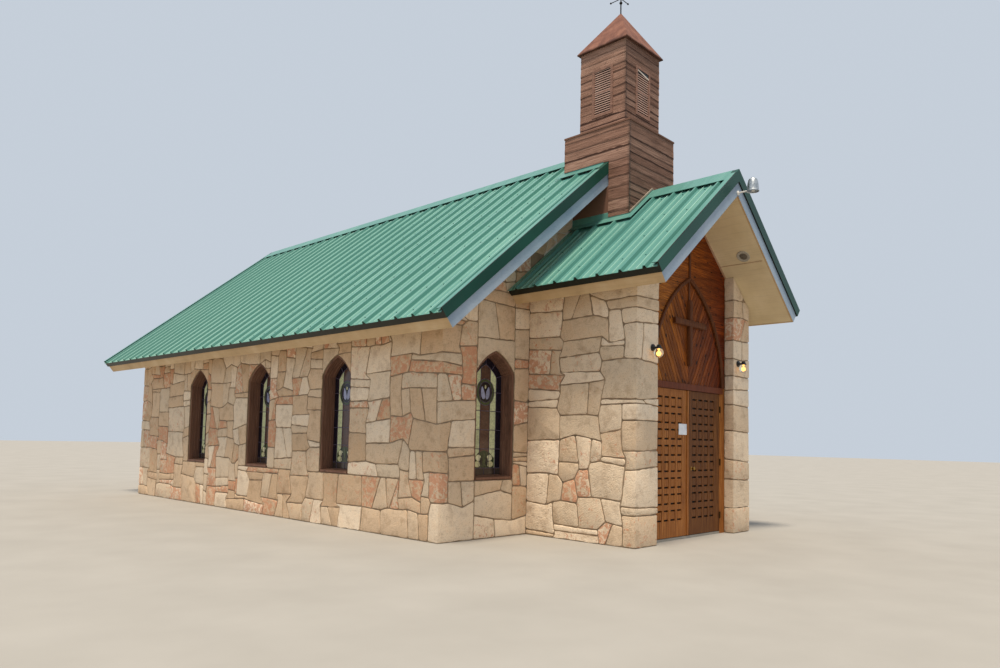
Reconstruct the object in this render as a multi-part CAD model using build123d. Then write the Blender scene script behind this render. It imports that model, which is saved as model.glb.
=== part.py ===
"""Small stone chapel with an entrance porch, a ribbed metal roof and a timber steeple, in millimetres.

The doors face -Y, the nave runs to +Y and +Z is up. The ground is at z = 0. The drawing plane y = 0 is
the outer face of the nave's front wall, and each piece is moved at the end so that the origin is the
bottom centre of the whole. "left" is the side at -X, on a visitor's left hand when facing the doors.
"""

import math
import os

from build123d import *

# Walls
NAVE_WIDTH = 6200
NAVE_LENGTH = 9340
PORCH_WIDTH = 3000
PORCH_PROJECTION = 1760
WALL = 300
ARCHWAY_HEIGHT = 2900
FLOOR_THICKNESS = 30

# Roofs: the rafter plane is the top of the fascia boards, and sizes across it are square to the slope
ROOF_PITCH = 39.5
NAVE_RIDGE = 5620
NAVE_EAVE = 510
NAVE_RAKE = 630
PORCH_RIDGE = 4785
PORCH_EAVE = 380
PORCH_RAKE = 580
RAFTER_DEPTH = 145
BATTEN_DEPTH = 90
FASCIA = 25
TRIM = 20
TRIM_FLANGE = 70
TRIM_SHEET = 4
RIB_PITCH = 326
RIB_HEIGHT = 38
RIB_FOOT = 66
RIB_TOP = 26
SHEET = 3
SHEET_DRIP = 45
SHEET_RIDGE_GAP = 40
CAP_WIDTH = 190
CAP_SHEET = 6

# Pointed windows
WINDOW_WIDTH = 730
WINDOW_SILL = 745
WINDOW_SPRING = 2160
WINDOW_RISE = 290
WINDOW_ARCH_RADIUS = 700
WINDOW_FRAME = 35
WINDOW_SETBACK = 15
WINDOW_FRAME_DEPTH = 240
GLASS_DEPTH = 190
GLASS = 8
SIDE_WINDOWS = 3
SIDE_WINDOW_FIRST = 2280
SIDE_WINDOW_SPACING = 2225

# Entrance
PIER_WIDTH = 470
DOOR_REVEAL = 143
DOOR_FRAME_DEPTH = 120
DOOR_HEAD = 2010
JAMB_WIDTH = 145
LINTEL_DEPTH = 85
LINTEL_PROUD = 22
LINTEL_LAP = 55
LEAF = 45
LEAF_SIDE_GAP = 6
LEAF_MEETING_GAP = 9
LEAF_TOP_GAP = 6
LEAF_FLOOR_GAP = 8
PANEL_ROWS = 8
PANEL_COLUMNS = 4
BOTTOM_RAIL = 215
TOP_RAIL = 103.5
PANEL_RAIL = 68.5
NARROW_STILE = 102.5
WIDE_STILE = 166
PANEL_STILE = 50
PANEL_RECESS = 20
PANEL_FIELD_RISE = 18
PANEL_SIDE_GAP = 3
PANEL_END_GAP = 20
PANEL_BEVEL = 6
MEETING_MOULDING = 42
MEETING_MOULDING_PROUD = 12
HINGE_OUT = 8
HINGE_CLEARANCE = 0.3
HINGE_LENGTH = 95
HINGE_PLATE = 32
HINGE_PLATE_SHEET = 2.5
HINGE_PLATE_START = 4
HINGE_INSET = 222
HINGE_SIDES = 12
KNOB_HEIGHT = 940
KNOB_IN = 77
KNOB_ROSE = 27
KNOB_ROSE_SHEET = 6
KNOB_NECK = 11
KNOB_RADIUS = 26
KNOB_FLAT = 12
KNOB_BACK = 30
KNOB_REACH = 60
KNOB_SIDES = 16

# Timber gable over the doors
GABLE_BOARDING = 60
ARCH_RISE = 1465
ARCH_RECESS = 12
MOULDING_WIDTH = 56
MOULDING_PROUD = 34
CROSS_ABOVE_LINTEL = 250
CROSS_HEIGHT = 915
CROSS_ARM_ABOVE_FOOT = 590
CROSS_SPAN = 830
CROSS_BEAM = 88
CROSS_POST = 76
CROSS_PROUD = 60

# Steeple
BASE_WIDTH = 1160
BASE_FRONT = 1000
BASE_ABOVE_RIDGE = 215
BASE_WALL = 40
BASE_CAP = 25
BASE_CAP_LAP = 15
FLASHING_WIDTH = 110
FLASHING_UPSTAND = 70
FLASHING_SHEET = 4
BELFRY_WIDTH = 875
BELFRY_DEPTH = 810
BELFRY_HEIGHT = 1296
BELFRY_WALL = 35
VENT_WIDTH = 315
VENT_ABOVE_FOOT = 270
VENT_HEIGHT = 685
VENT_CASING = 30
VENT_CASING_PROUD = 16
VENT_LINING = 12
VENT_SLATS = 20
VENT_SLAT = 7
VENT_SLAT_TILT = 35
VENT_RAIL = 22
SPIRE_LAP = 50
SPIRE_HEIGHT = 690
SPIRE_EDGE = 14
SPIRE_TIP = 26
VANE_ROD = 10
VANE_HEIGHT = 560
VANE_KNOB = 24
VANE_KNOB_HEIGHT = 180
VANE_ARM_HEIGHT = 250
VANE_ARM = 190
VANE_ARM_ROD = 6
VANE_TIP = 15
VANE_ARROW_HEIGHT = 440
VANE_ARROW = 520
VANE_PLATE = 6
VANE_SIDES = 8

# Lamps
SCONCE_BESIDE_DOORWAY = 125
SCONCE_HEIGHT = 2470
SCONCE_PLATE = 45
SCONCE_PLATE_DEPTH = 26
SCONCE_REACH = 100
SCONCE_DROP = 70
SCONCE_GLOBE = 62
SCONCE_HOOD = 42
SCONCE_HOOD_HEIGHT = 46
SCONCE_HOOD_LAP = 8
SCONCE_ARM = 11
LAMP_SIDES = 16
GLOBE_RINGS = 8
YARD_LIGHT_REACH = 210
YARD_LIGHT_DROP = 178
YARD_LIGHT_RADIUS = 80
YARD_LIGHT_TOP_RADIUS = 52
YARD_LIGHT_HEIGHT = 165
YARD_LIGHT_SHEET = 4
YARD_LIGHT_ARM = 22
YARD_LIGHT_SENSOR = 22
YARD_LIGHT_LAMP = 32
YARD_LIGHT_LAMP_LENGTH = 125
SOFFIT_LIGHT_RADIUS = 95
SOFFIT_LIGHT_DEPTH = 10
SOFFIT_LIGHT_DOWN = 1115
SOFFIT_LIGHT_OUT = 285

TAN = math.tan(math.radians(ROOF_PITCH))
COS = math.cos(math.radians(ROOF_PITCH))
SIN = math.sin(math.radians(ROOF_PITCH))

HALF_NAVE = NAVE_WIDTH / 2
HALF_PORCH = PORCH_WIDTH / 2
HALF_DOORWAY = HALF_PORCH - PIER_WIDTH
HALF_DOOR = HALF_DOORWAY - JAMB_WIDTH
HALF_LINTEL = HALF_DOOR + LINTEL_LAP
PORCH_FRONT = -PORCH_PROJECTION
DOOR_FACE = PORCH_FRONT + DOOR_REVEAL
FASCIA_FRONT = PORCH_FRONT - PORCH_RAKE
PORCH_CLEAR_HALF = HALF_PORCH - WALL
LINTEL_TOP = DOOR_HEAD + LINTEL_DEPTH
HINGE_RADIUS = math.hypot(LEAF_SIDE_GAP / 2, HINGE_OUT) - HINGE_CLEARANCE
RIB_LEVEL = BATTEN_DEPTH + RIB_HEIGHT
CROSS_FOOT = LINTEL_TOP + CROSS_ABOVE_LINTEL
BASE_HALF = BASE_WIDTH / 2
BASE_TOP = NAVE_RIDGE + BASE_ABOVE_RIDGE
BASE_BACK = BASE_WIDTH - BASE_FRONT
STEEPLE_Y = (BASE_BACK - BASE_FRONT) / 2
BELFRY_HALF_WIDTH = BELFRY_WIDTH / 2
BELFRY_HALF_DEPTH = BELFRY_DEPTH / 2
BELFRY_FOOT = BASE_TOP + BASE_CAP
BELFRY_TOP = BELFRY_FOOT + BELFRY_HEIGHT
VENT_SILL = BELFRY_FOOT + VENT_ABOVE_FOOT
SPIRE_APEX = BELFRY_TOP + SPIRE_EDGE + SPIRE_HEIGHT
YARD_LIGHT_RIM = PORCH_RIDGE - YARD_LIGHT_DROP
FRONT_REACH = FASCIA_FRONT - YARD_LIGHT_REACH - YARD_LIGHT_RADIUS
BACK_REACH = NAVE_LENGTH + NAVE_RAKE + TRIM
MIDDLE_Y = (FRONT_REACH + BACK_REACH) / 2
FAR = 20000


def block(x0, x1, y0, y1, z0, z1):
    """A plain box between two corners."""
    middle = ((x0 + x1) / 2, (y0 + y1) / 2, (z0 + z1) / 2)
    return Pos(*middle) * Box(abs(x1 - x0), abs(y1 - y0), abs(z1 - z0))


def along_y(points, y0, y1):
    """A prism of an outline given in x and z, from y0 to y1."""
    plane = Plane(origin=(0, y0, 0), x_dir=(1, 0, 0), z_dir=(0, -1, 0))
    return extrude(plane * make_face(Polyline(*points, close=True)), amount=y0 - y1)


def mirrored(shape):
    """The same piece on the other side of the middle plane."""
    return mirror(shape, about=Plane.YZ)


def turned(levels, sides):
    """A convex turned form with flat facets, about the z axis, from its radius and height at each level."""
    angles = [math.pi / 4 + 2 * math.pi * i / sides for i in range(sides)]
    return ConvexPolyhedron([(r * math.cos(a), r * math.sin(a), z) for r, z in levels for a in angles])


def rod(radius, length, sides):
    """A straight rod that stands on the origin."""
    return turned([(radius, 0), (radius, length)], sides)


def ball(radius, sides, rings):
    """A round ball about the origin, with flat facets."""
    turns = [math.pi * (i + 0.5) / rings for i in range(rings)]
    return turned([(radius * math.sin(turn), -radius * math.cos(turn)) for turn in turns], sides)


class Slope:
    """The right-hand slope of a gabled roof: u runs down it from the ridge, w is square to it."""

    def __init__(self, ridge, half_width, y0, y1):
        self.ridge, self.y0, self.y1 = ridge, y0, y1
        self.eave = half_width / COS

    def at(self, u, w):
        return (u * COS + w * SIN, self.ridge - u * SIN + w * COS)

    def soffit(self, x):
        """Height of the underside of the rafters at a distance x from the middle."""
        return self.ridge - x * TAN - RAFTER_DEPTH / COS

    def layer(self, w0, w1, end, y0, y1):
        """A layer from the ridge's middle plane down to u = end."""
        points = [(0, self.ridge + w0 / COS), self.at(end, w0), self.at(end, w1), (0, self.ridge + w1 / COS)]
        return along_y(points, y0, y1)

    def both(self, w0, w1, end, y0, y1):
        """The same layer over both slopes."""
        half = self.layer(w0, w1, end, y0, y1)
        return half + mirrored(half)

    def under(self, w, y0, y1):
        """All the space under both slopes at the level w."""
        foot = (FAR, self.ridge + w / COS - FAR * TAN)
        return along_y([(0, self.ridge + w / COS), foot, (-foot[0], foot[1])], y0, y1)


NAVE = Slope(NAVE_RIDGE, HALF_NAVE + NAVE_EAVE, -NAVE_RAKE, NAVE_LENGTH + NAVE_RAKE)
PORCH = Slope(PORCH_RIDGE, HALF_PORCH + PORCH_EAVE, FASCIA_FRONT, 0)


def steeple_column(margin=0):
    """The footprint of the steeple's base, widened by a margin, from the ground up."""
    return block(
        -BASE_HALF - margin, BASE_HALF + margin, -BASE_FRONT - margin, BASE_BACK + margin, 0, BASE_TOP
    )


def window_outline(inset=0):
    """The pointed opening in local x (along the wall) and y (height), seen from outside."""
    half, apex = WINDOW_WIDTH / 2, WINDOW_SPRING + WINDOW_RISE
    chord = math.hypot(half, WINDOW_RISE)
    bulge = WINDOW_ARCH_RADIUS - math.sqrt(WINDOW_ARCH_RADIUS**2 - (chord / 2) ** 2)
    middle = (half / 2 + bulge * WINDOW_RISE / chord, WINDOW_SPRING + WINDOW_RISE / 2 + bulge * half / chord)
    outline = (
        Line((-half, WINDOW_SPRING), (-half, WINDOW_SILL))
        + Line((-half, WINDOW_SILL), (half, WINDOW_SILL))
        + Line((half, WINDOW_SILL), (half, WINDOW_SPRING))
        + ThreePointArc((half, WINDOW_SPRING), middle, (0, apex))
        + ThreePointArc((0, apex), (-middle[0], middle[1]), (-half, WINDOW_SPRING))
    )
    face = make_face(outline)
    return offset(face, amount=-inset, kind=Kind.INTERSECTION) if inset else face


def window_places():
    """The middle of each window as seen on the right-hand side: along the side wall, or out on the front."""
    side = [SIDE_WINDOW_FIRST + i * SIDE_WINDOW_SPACING for i in range(SIDE_WINDOWS)]
    return side, (HALF_PORCH + HALF_NAVE - WALL) / 2


def in_side_wall(face, y, depth0, depth1):
    """A window outline run through the right-hand wall between two depths behind its outer face."""
    plane = Plane(origin=(HALF_NAVE - depth0, y, 0), x_dir=(0, 1, 0), z_dir=(1, 0, 0))
    return extrude(plane * face, amount=depth0 - depth1)


def in_front_wall(face, x, depth0, depth1):
    """A window outline run through the nave's front wall between two depths behind its outer face."""
    plane = Plane(origin=(x, depth0, 0), x_dir=(1, 0, 0), z_dir=(0, -1, 0))
    return extrude(plane * face, amount=depth0 - depth1)


def walls():
    side, front = window_places()
    inner = HALF_NAVE - WALL
    profile = [(inner, 0), (HALF_NAVE, 0), (HALF_NAVE, NAVE.soffit(HALF_NAVE)), (inner, NAVE.soffit(inner))]
    right = along_y(profile, 0, NAVE_LENGTH)
    for y in side:
        right -= in_side_wall(window_outline(), y, -1, WALL + 1)
    gable = [(-inner, 0), (inner, 0), (inner, NAVE.soffit(inner)), (0, NAVE.soffit(0)), (-inner, NAVE.soffit(inner))]
    back = along_y(gable, NAVE_LENGTH - WALL, NAVE_LENGTH)
    beside = [
        (PORCH_CLEAR_HALF, 0),
        (inner, 0),
        (inner, NAVE.soffit(inner)),
        (PORCH_CLEAR_HALF, NAVE.soffit(PORCH_CLEAR_HALF)),
    ]
    front_right = along_y(beside, 0, WALL) - in_front_wall(window_outline(), front, -1, WALL + 1)
    over = [
        (-PORCH_CLEAR_HALF, ARCHWAY_HEIGHT),
        (PORCH_CLEAR_HALF, ARCHWAY_HEIGHT),
        (PORCH_CLEAR_HALF, NAVE.soffit(PORCH_CLEAR_HALF)),
        (0, NAVE.soffit(0)),
        (-PORCH_CLEAR_HALF, NAVE.soffit(PORCH_CLEAR_HALF)),
    ]
    return {
        "nave_right_wall": right,
        "nave_left_wall": mirrored(right),
        "nave_back_wall": back,
        "nave_front_wall_right": front_right,
        "nave_front_wall_left": mirrored(front_right),
        "nave_front_gable": along_y(over, 0, WALL),
    }


def porch_walls():
    def upright(x0, x1, y0, y1):
        return along_y([(x0, 0), (x1, 0), (x1, PORCH.soffit(x1)), (x0, PORCH.soffit(x0))], y0, y1)

    pier_back = PORCH_FRONT + WALL
    side = upright(PORCH_CLEAR_HALF, HALF_PORCH, pier_back, 0)
    pier = upright(HALF_DOORWAY, HALF_PORCH, PORCH_FRONT, pier_back)
    return {
        "porch_right_wall": side,
        "porch_left_wall": mirrored(side),
        "porch_right_pier": pier,
        "porch_left_pier": mirrored(pier),
    }


def floor():
    inner = HALF_NAVE - WALL
    nave = block(-inner, inner, WALL, NAVE_LENGTH - WALL, 0, FLOOR_THICKNESS)
    passage = block(-PORCH_CLEAR_HALF, PORCH_CLEAR_HALF, PORCH_FRONT + WALL, WALL, 0, FLOOR_THICKNESS)
    sill = block(-HALF_DOORWAY, HALF_DOORWAY, DOOR_FACE + DOOR_FRAME_DEPTH, PORCH_FRONT + WALL, 0, FLOOR_THICKNESS)
    threshold = block(-HALF_DOOR, HALF_DOOR, DOOR_FACE, DOOR_FACE + DOOR_FRAME_DEPTH, 0, FLOOR_THICKNESS)
    return {"floor_slab": nave + passage + sill + threshold}


def windows():
    side, front = window_places()
    ring = window_outline() - window_outline(WINDOW_FRAME)
    pane = window_outline(WINDOW_FRAME)
    frame_back = WINDOW_SETBACK + WINDOW_FRAME_DEPTH
    side_frames = Compound([in_side_wall(ring, y, WINDOW_SETBACK, frame_back).solid() for y in side])
    side_glass = Compound([in_side_wall(pane, y, GLASS_DEPTH, GLASS_DEPTH + GLASS).solid() for y in side])
    front_frames = Compound(
        [in_front_wall(ring, x, WINDOW_SETBACK, frame_back).solid() for x in (-front, front)]
    )
    front_glass = Compound(
        [in_front_wall(pane, x, GLASS_DEPTH, GLASS_DEPTH + GLASS).solid() for x in (-front, front)]
    )
    return {
        "nave_right_window_frames": side_frames,
        "nave_left_window_frames": mirrored(side_frames),
        "nave_right_window_glass": side_glass,
        "nave_left_window_glass": mirrored(side_glass),
        "front_window_frames": front_frames,
        "front_window_glass": front_glass,
    }


def rib_profile(y0, y1):
    """The ribbed sheet's section in y and w: a thin sheet that runs up and over each rib."""
    count = round((y1 - y0) / RIB_PITCH)
    pitch = (y1 - y0) / count
    top, under = [], []
    for i in range(count):
        middle = y0 + (i + 0.5) * pitch
        foot, crest = RIB_FOOT / 2, RIB_TOP / 2
        top += [
            (middle - foot, BATTEN_DEPTH + SHEET),
            (middle - crest, RIB_LEVEL),
            (middle + crest, RIB_LEVEL),
            (middle + foot, BATTEN_DEPTH + SHEET),
        ]
        under += [
            (middle - foot + SHEET, BATTEN_DEPTH),
            (middle - crest + SHEET / 2, RIB_LEVEL - SHEET),
            (middle + crest - SHEET / 2, RIB_LEVEL - SHEET),
            (middle + foot - SHEET, BATTEN_DEPTH),
        ]
    start = [(y0, BATTEN_DEPTH), (y0, BATTEN_DEPTH + SHEET)]
    end = [(y1, BATTEN_DEPTH + SHEET), (y1, BATTEN_DEPTH)]
    return start + top + end + under[::-1]


def metal_sheet(slope, y0, y1):
    """The ribbed sheet on the right-hand slope."""
    u_dir = (COS, 0, -SIN)
    plane = Plane(origin=(0, 0, slope.ridge), x_dir=(0, 1, 0), z_dir=u_dir)
    face = make_face(Polyline(*rib_profile(y0, y1), close=True))
    sheet = extrude(plane * face, amount=slope.eave + SHEET_DRIP)
    return sheet - extrude(plane * Rectangle(4 * FAR, 4 * FAR), amount=SHEET_RIDGE_GAP)


def roof_pieces(slope, y_back, trim_back):
    """Rafter deck, fascia boards and edge trim of one roof; the trim turns the back edge too if asked."""
    eave, y0 = slope.eave, slope.y0
    inner_back = y_back - FASCIA if trim_back else y_back
    rafters = slope.layer(-RAFTER_DEPTH, 0, eave - FASCIA, y0 + FASCIA, inner_back)
    deck = rafters + slope.layer(0, BATTEN_DEPTH, eave, y0, y_back)
    fascia = slope.both(-RAFTER_DEPTH, 0, eave, y0, y_back) - rafters - mirrored(rafters)
    out_back = y_back + TRIM if trim_back else y_back
    band = slope.both(0, BATTEN_DEPTH, eave + TRIM, y0 - TRIM, out_back)
    band -= slope.both(-1, BATTEN_DEPTH + 1, eave, y0, y_back)
    band += slope.both(BATTEN_DEPTH, RIB_LEVEL + TRIM_SHEET, eave + TRIM, y0 - TRIM, y0)
    band += slope.both(RIB_LEVEL, RIB_LEVEL + TRIM_SHEET, eave + TRIM, y0, y0 + TRIM_FLANGE)
    if trim_back:
        band += slope.both(BATTEN_DEPTH, RIB_LEVEL + TRIM_SHEET, eave + TRIM, y_back, out_back)
        band += slope.both(RIB_LEVEL, RIB_LEVEL + TRIM_SHEET, eave + TRIM, y_back - TRIM_FLANGE, y_back)
    return deck, fascia, band


def ridge_cap(slope, y0, y1):
    """The folded cap over the ribs at the ridge."""
    return slope.both(RIB_LEVEL, RIB_LEVEL + CAP_SHEET, CAP_WIDTH, y0, y1)


def roofs():
    nodes = {}
    shaft = steeple_column(FLASHING_SHEET)
    for name, slope, y_back, trim_back in (
        ("nave", NAVE, NAVE.y1, True),
        ("porch", PORCH, PORCH.y1, False),
    ):
        deck, fascia, band = roof_pieces(slope, y_back, trim_back)
        sheet = metal_sheet(slope, slope.y0, y_back) - shaft
        nodes[name + "_roof_right"] = deck
        nodes[name + "_roof_left"] = mirrored(deck)
        nodes[name + "_metal_sheets"] = Compound([sheet.solid(), mirrored(sheet).solid()])
        nodes[name + "_fascia"] = fascia
        nodes[name + "_edge_trim"] = band - shaft
    flange_back = BASE_BACK + FLASHING_WIDTH
    flange_front = -BASE_FRONT - FLASHING_WIDTH
    nodes["nave_ridge_cap"] = ridge_cap(NAVE, flange_back, NAVE.y1 - TRIM_FLANGE)
    nodes["porch_ridge_cap"] = ridge_cap(PORCH, PORCH.y0 + TRIM_FLANGE, flange_front)
    return nodes


def steeple_base():
    outer = steeple_column()
    nave_edge = -NAVE_RAKE - TRIM
    upper = outer - NAVE.under(BATTEN_DEPTH, nave_edge, FAR)
    lower = outer & block(-FAR, FAR, -FAR, 0, 0, FAR)
    lower -= NAVE.both(-RAFTER_DEPTH, RIB_LEVEL + TRIM_SHEET, NAVE.eave, nave_edge, FAR)
    shell = (upper + lower) - PORCH.under(BATTEN_DEPTH, -FAR, 0)
    inner = BASE_HALF - BASE_WALL
    shell -= block(-inner, inner, -BASE_FRONT + BASE_WALL, BASE_BACK - BASE_WALL, 0, BASE_TOP)
    edge_trim = NAVE.both(0, RIB_LEVEL + TRIM_SHEET, NAVE.eave, nave_edge, -NAVE_RAKE + TRIM_FLANGE)
    shell -= edge_trim
    lap = BASE_HALF + BASE_CAP_LAP
    cap = block(-lap, lap, -BASE_FRONT - BASE_CAP_LAP, BASE_BACK + BASE_CAP_LAP, BASE_TOP, BELFRY_FOOT)
    return shell + cap


def steeple_flashing():
    """Flanges on the ribs round the base, and upstands against its walls, on each roof."""
    ring = steeple_column(FLASHING_WIDTH) - steeple_column()
    collar = steeple_column(FLASHING_SHEET) - steeple_column()
    nave_start = -NAVE_RAKE + TRIM_FLANGE
    solids = []
    for slope, y0, y1 in ((NAVE, nave_start, FAR), (PORCH, -FAR, 0)):
        flange = slope.both(RIB_LEVEL, RIB_LEVEL + FLASHING_SHEET, slope.eave, y0, y1) & ring
        upstand = slope.both(RIB_LEVEL, RIB_LEVEL + FLASHING_UPSTAND, slope.eave, y0, y1) & collar
        solids += (flange + upstand).solids()
    return Compound(solids)


def louvre(face_turn, reach):
    """One louvred vent, built for a front face at a distance from the belfry's middle, and turned about it."""
    half, top = VENT_WIDTH / 2, VENT_SILL + VENT_HEIGHT
    face = -reach
    casing = block(
        -half - VENT_CASING, half + VENT_CASING, face - VENT_CASING_PROUD, face,
        VENT_SILL - VENT_CASING, top + VENT_CASING,
    )
    lining = block(-half, half, face, face + BELFRY_WALL, VENT_SILL, top)
    clear = half - VENT_LINING
    hole = block(
        -clear, clear, face - VENT_CASING_PROUD - 1, face + BELFRY_WALL + 1,
        VENT_SILL + VENT_LINING, top - VENT_LINING,
    )
    unit = casing + lining - hole
    middle_z = (VENT_SILL + top) / 2
    unit += block(-clear, clear, face - VENT_CASING_PROUD / 2, face + BELFRY_WALL, middle_z - VENT_RAIL / 2,
                  middle_z + VENT_RAIL / 2)
    pitch = (VENT_HEIGHT - 2 * VENT_LINING) / VENT_SLATS
    slat = Box(2 * clear, BELFRY_WALL, VENT_SLAT)
    for i in range(VENT_SLATS):
        z = VENT_SILL + VENT_LINING + (i + 0.5) * pitch
        unit += Pos(0, face + BELFRY_WALL / 2, z) * Rot(VENT_SLAT_TILT, 0, 0) * slat
    return Pos(0, STEEPLE_Y, 0) * Rot(0, 0, face_turn) * unit


def belfry():
    half, top = VENT_WIDTH / 2, VENT_SILL + VENT_HEIGHT
    shell = Box(BELFRY_WIDTH, BELFRY_DEPTH, BELFRY_HEIGHT)
    shell -= Box(BELFRY_WIDTH - 2 * BELFRY_WALL, BELFRY_DEPTH - 2 * BELFRY_WALL, BELFRY_HEIGHT)
    shell = Pos(0, 0, (BELFRY_FOOT + BELFRY_TOP) / 2) * shell
    shell -= block(-half, half, -FAR, FAR, VENT_SILL, top)
    shell -= block(-FAR, FAR, -half, half, VENT_SILL, top)
    faces = ((0, BELFRY_HALF_DEPTH), (90, BELFRY_HALF_WIDTH), (180, BELFRY_HALF_DEPTH), (270, BELFRY_HALF_WIDTH))
    vents = Compound([louvre(turn, reach).solid() for turn, reach in faces])
    return {"belfry": Pos(0, STEEPLE_Y, 0) * shell, "belfry_louvres": vents}


def spire():
    """The low pyramid roof, with a small flat at its tip for the vane's foot."""
    across, deep, tip = BELFRY_HALF_WIDTH + SPIRE_LAP, BELFRY_HALF_DEPTH + SPIRE_LAP, SPIRE_TIP / 2
    levels = ((across, deep, BELFRY_TOP), (across, deep, BELFRY_TOP + SPIRE_EDGE), (tip, tip, SPIRE_APEX))
    corners = [(side * x, end * y, z) for x, y, z in levels for side in (-1, 1) for end in (-1, 1)]
    return Pos(0, STEEPLE_Y, 0) * ConvexPolyhedron(corners)


def weathervane():
    """A rod with a knob, four direction arms and an arrow."""
    vane = rod(VANE_ROD, VANE_HEIGHT, VANE_SIDES)
    vane += Pos(0, 0, VANE_KNOB_HEIGHT) * ball(VANE_KNOB, VANE_SIDES, VANE_SIDES // 2)
    for turn in range(0, 360, 90):
        arm = Rot(0, 90, 0) * rod(VANE_ARM_ROD, VANE_ARM, VANE_SIDES)
        arm += Pos(VANE_ARM, 0, 0) * ball(VANE_TIP, VANE_SIDES, VANE_SIDES // 2)
        vane += Pos(0, 0, VANE_ARM_HEIGHT) * Rot(0, 0, turn) * arm
    half = VANE_ARROW / 2
    arrow = [
        (half, 0), (half - 110, 45), (half - 90, 9), (-half + 110, 9), (-half, 60),
        (-half, -60), (-half + 110, -9), (half - 90, -9), (half - 110, -45),
    ]
    plane = Plane(origin=(0, -VANE_PLATE / 2, VANE_ARROW_HEIGHT), x_dir=(1, 0, 0), z_dir=(0, -1, 0))
    vane += extrude(plane * make_face(Polyline(*arrow, close=True)), amount=-VANE_PLATE)
    return Pos(0, STEEPLE_Y, SPIRE_APEX) * vane


def door_frame():
    back = DOOR_FACE + DOOR_FRAME_DEPTH
    jamb_outline = [
        (HALF_DOOR, 0), (HALF_DOORWAY, 0), (HALF_DOORWAY, LINTEL_TOP),
        (HALF_LINTEL, LINTEL_TOP), (HALF_LINTEL, DOOR_HEAD), (HALF_DOOR, DOOR_HEAD),
    ]
    jamb = along_y(jamb_outline, DOOR_FACE, back)
    lintel = block(-HALF_LINTEL, HALF_LINTEL, DOOR_FACE - LINTEL_PROUD, back, DOOR_HEAD, LINTEL_TOP)
    return {"door_jambs": Compound([jamb.solid(), mirrored(jamb).solid()]), "door_lintel": lintel}


def hinge_axis():
    """Where the right-hand leaf's hinge pin stands, in x and y."""
    return HALF_DOOR - LEAF_SIDE_GAP / 2, DOOR_FACE - HINGE_OUT


def leaf_edges():
    """The right-hand leaf's meeting edge, hinge edge, foot and top."""
    foot, top = FLOOR_THICKNESS + LEAF_FLOOR_GAP, DOOR_HEAD - LEAF_TOP_GAP
    return LEAF_MEETING_GAP / 2, HALF_DOOR - LEAF_SIDE_GAP, foot, top


def door_leaf(inner_stile, outer_stile):
    """A right-hand leaf with its raised panels between two stiles, and the moulding at its meeting edge."""
    x0, x1, z0, z1 = leaf_edges()
    leaf = block(x0, x1, DOOR_FACE, DOOR_FACE + LEAF, z0, z1)
    column_pitch = (x1 - x0 - inner_stile - outer_stile + PANEL_STILE) / PANEL_COLUMNS
    row_pitch = (z1 - z0 - BOTTOM_RAIL - TOP_RAIL + PANEL_RAIL) / PANEL_ROWS
    width, height = column_pitch - PANEL_STILE, row_pitch - PANEL_RAIL
    cuts, fields = [], []
    field_width, field_height = width - 2 * PANEL_SIDE_GAP, height - 2 * PANEL_END_GAP
    floor_plane = DOOR_FACE + PANEL_RECESS
    for row in range(PANEL_ROWS):
        for column in range(PANEL_COLUMNS):
            x = x0 + inner_stile + width / 2 + column * column_pitch
            z = z0 + BOTTOM_RAIL + height / 2 + row * row_pitch
            cuts.append(Pos(x, DOOR_FACE + PANEL_RECESS / 2, z) * Box(width, PANEL_RECESS, height))
            plane = Plane(origin=(x, floor_plane, z), x_dir=(1, 0, 0), z_dir=(0, -1, 0))
            outer = plane * Rectangle(field_width, field_height)
            top = plane.offset(PANEL_FIELD_RISE)
            inner = top * Rectangle(field_width - 2 * PANEL_BEVEL, field_height - 2 * PANEL_BEVEL)
            fields.append(loft([outer, inner]))
    leaf = leaf - cuts + fields
    leaf += block(x0, x0 + MEETING_MOULDING, DOOR_FACE - MEETING_MOULDING_PROUD, DOOR_FACE, z0, z1)
    return leaf


def door_furniture():
    pin_x, pin_y = hinge_axis()
    hinges = []
    foot, top = leaf_edges()[2:]
    for z in (foot + HINGE_INSET, (foot + top) / 2, top - HINGE_INSET):
        barrel = Pos(pin_x, pin_y, z - HINGE_LENGTH / 2) * rod(HINGE_RADIUS, HINGE_LENGTH, HINGE_SIDES)
        start = pin_x + HINGE_PLATE_START
        barrel += block(start, start + HINGE_PLATE, DOOR_FACE - HINGE_PLATE_SHEET, DOOR_FACE,
                        z - HINGE_LENGTH / 2, z + HINGE_LENGTH / 2)
        hinges += [barrel.solid(), mirrored(barrel).solid()]
    middle = (KNOB_BACK + KNOB_REACH) / 2
    bulge = [(KNOB_FLAT, KNOB_BACK), (KNOB_RADIUS, middle), (KNOB_FLAT, KNOB_REACH)]
    knob = rod(KNOB_ROSE, KNOB_ROSE_SHEET, KNOB_SIDES) + rod(KNOB_NECK, middle, KNOB_SIDES)
    knob += turned(bulge, KNOB_SIDES)
    knob = Pos(KNOB_IN, DOOR_FACE, KNOB_HEIGHT) * Rot(90, 0, 0) * knob
    return {"door_hinges": Compound(hinges), "door_handle": knob}


def arch_outline(grow=0):
    """The pointed arch over the lintel: two arcs struck from the springing line."""
    half = HALF_LINTEL
    radius = (half**2 + ARCH_RISE**2) / (2 * half) + grow
    centre = half + grow - radius
    rise = math.sqrt(radius**2 - centre**2)
    turn = math.atan2(rise, -centre) / 2
    middle = (centre + radius * math.cos(turn), LINTEL_TOP + radius * math.sin(turn))
    foot, apex = (half + grow, LINTEL_TOP), (0, LINTEL_TOP + rise)
    outline = (
        Line((-foot[0], foot[1]), foot)
        + ThreePointArc(foot, middle, apex)
        + ThreePointArc(apex, (-middle[0], middle[1]), (-foot[0], foot[1]))
    )
    return make_face(outline)


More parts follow.
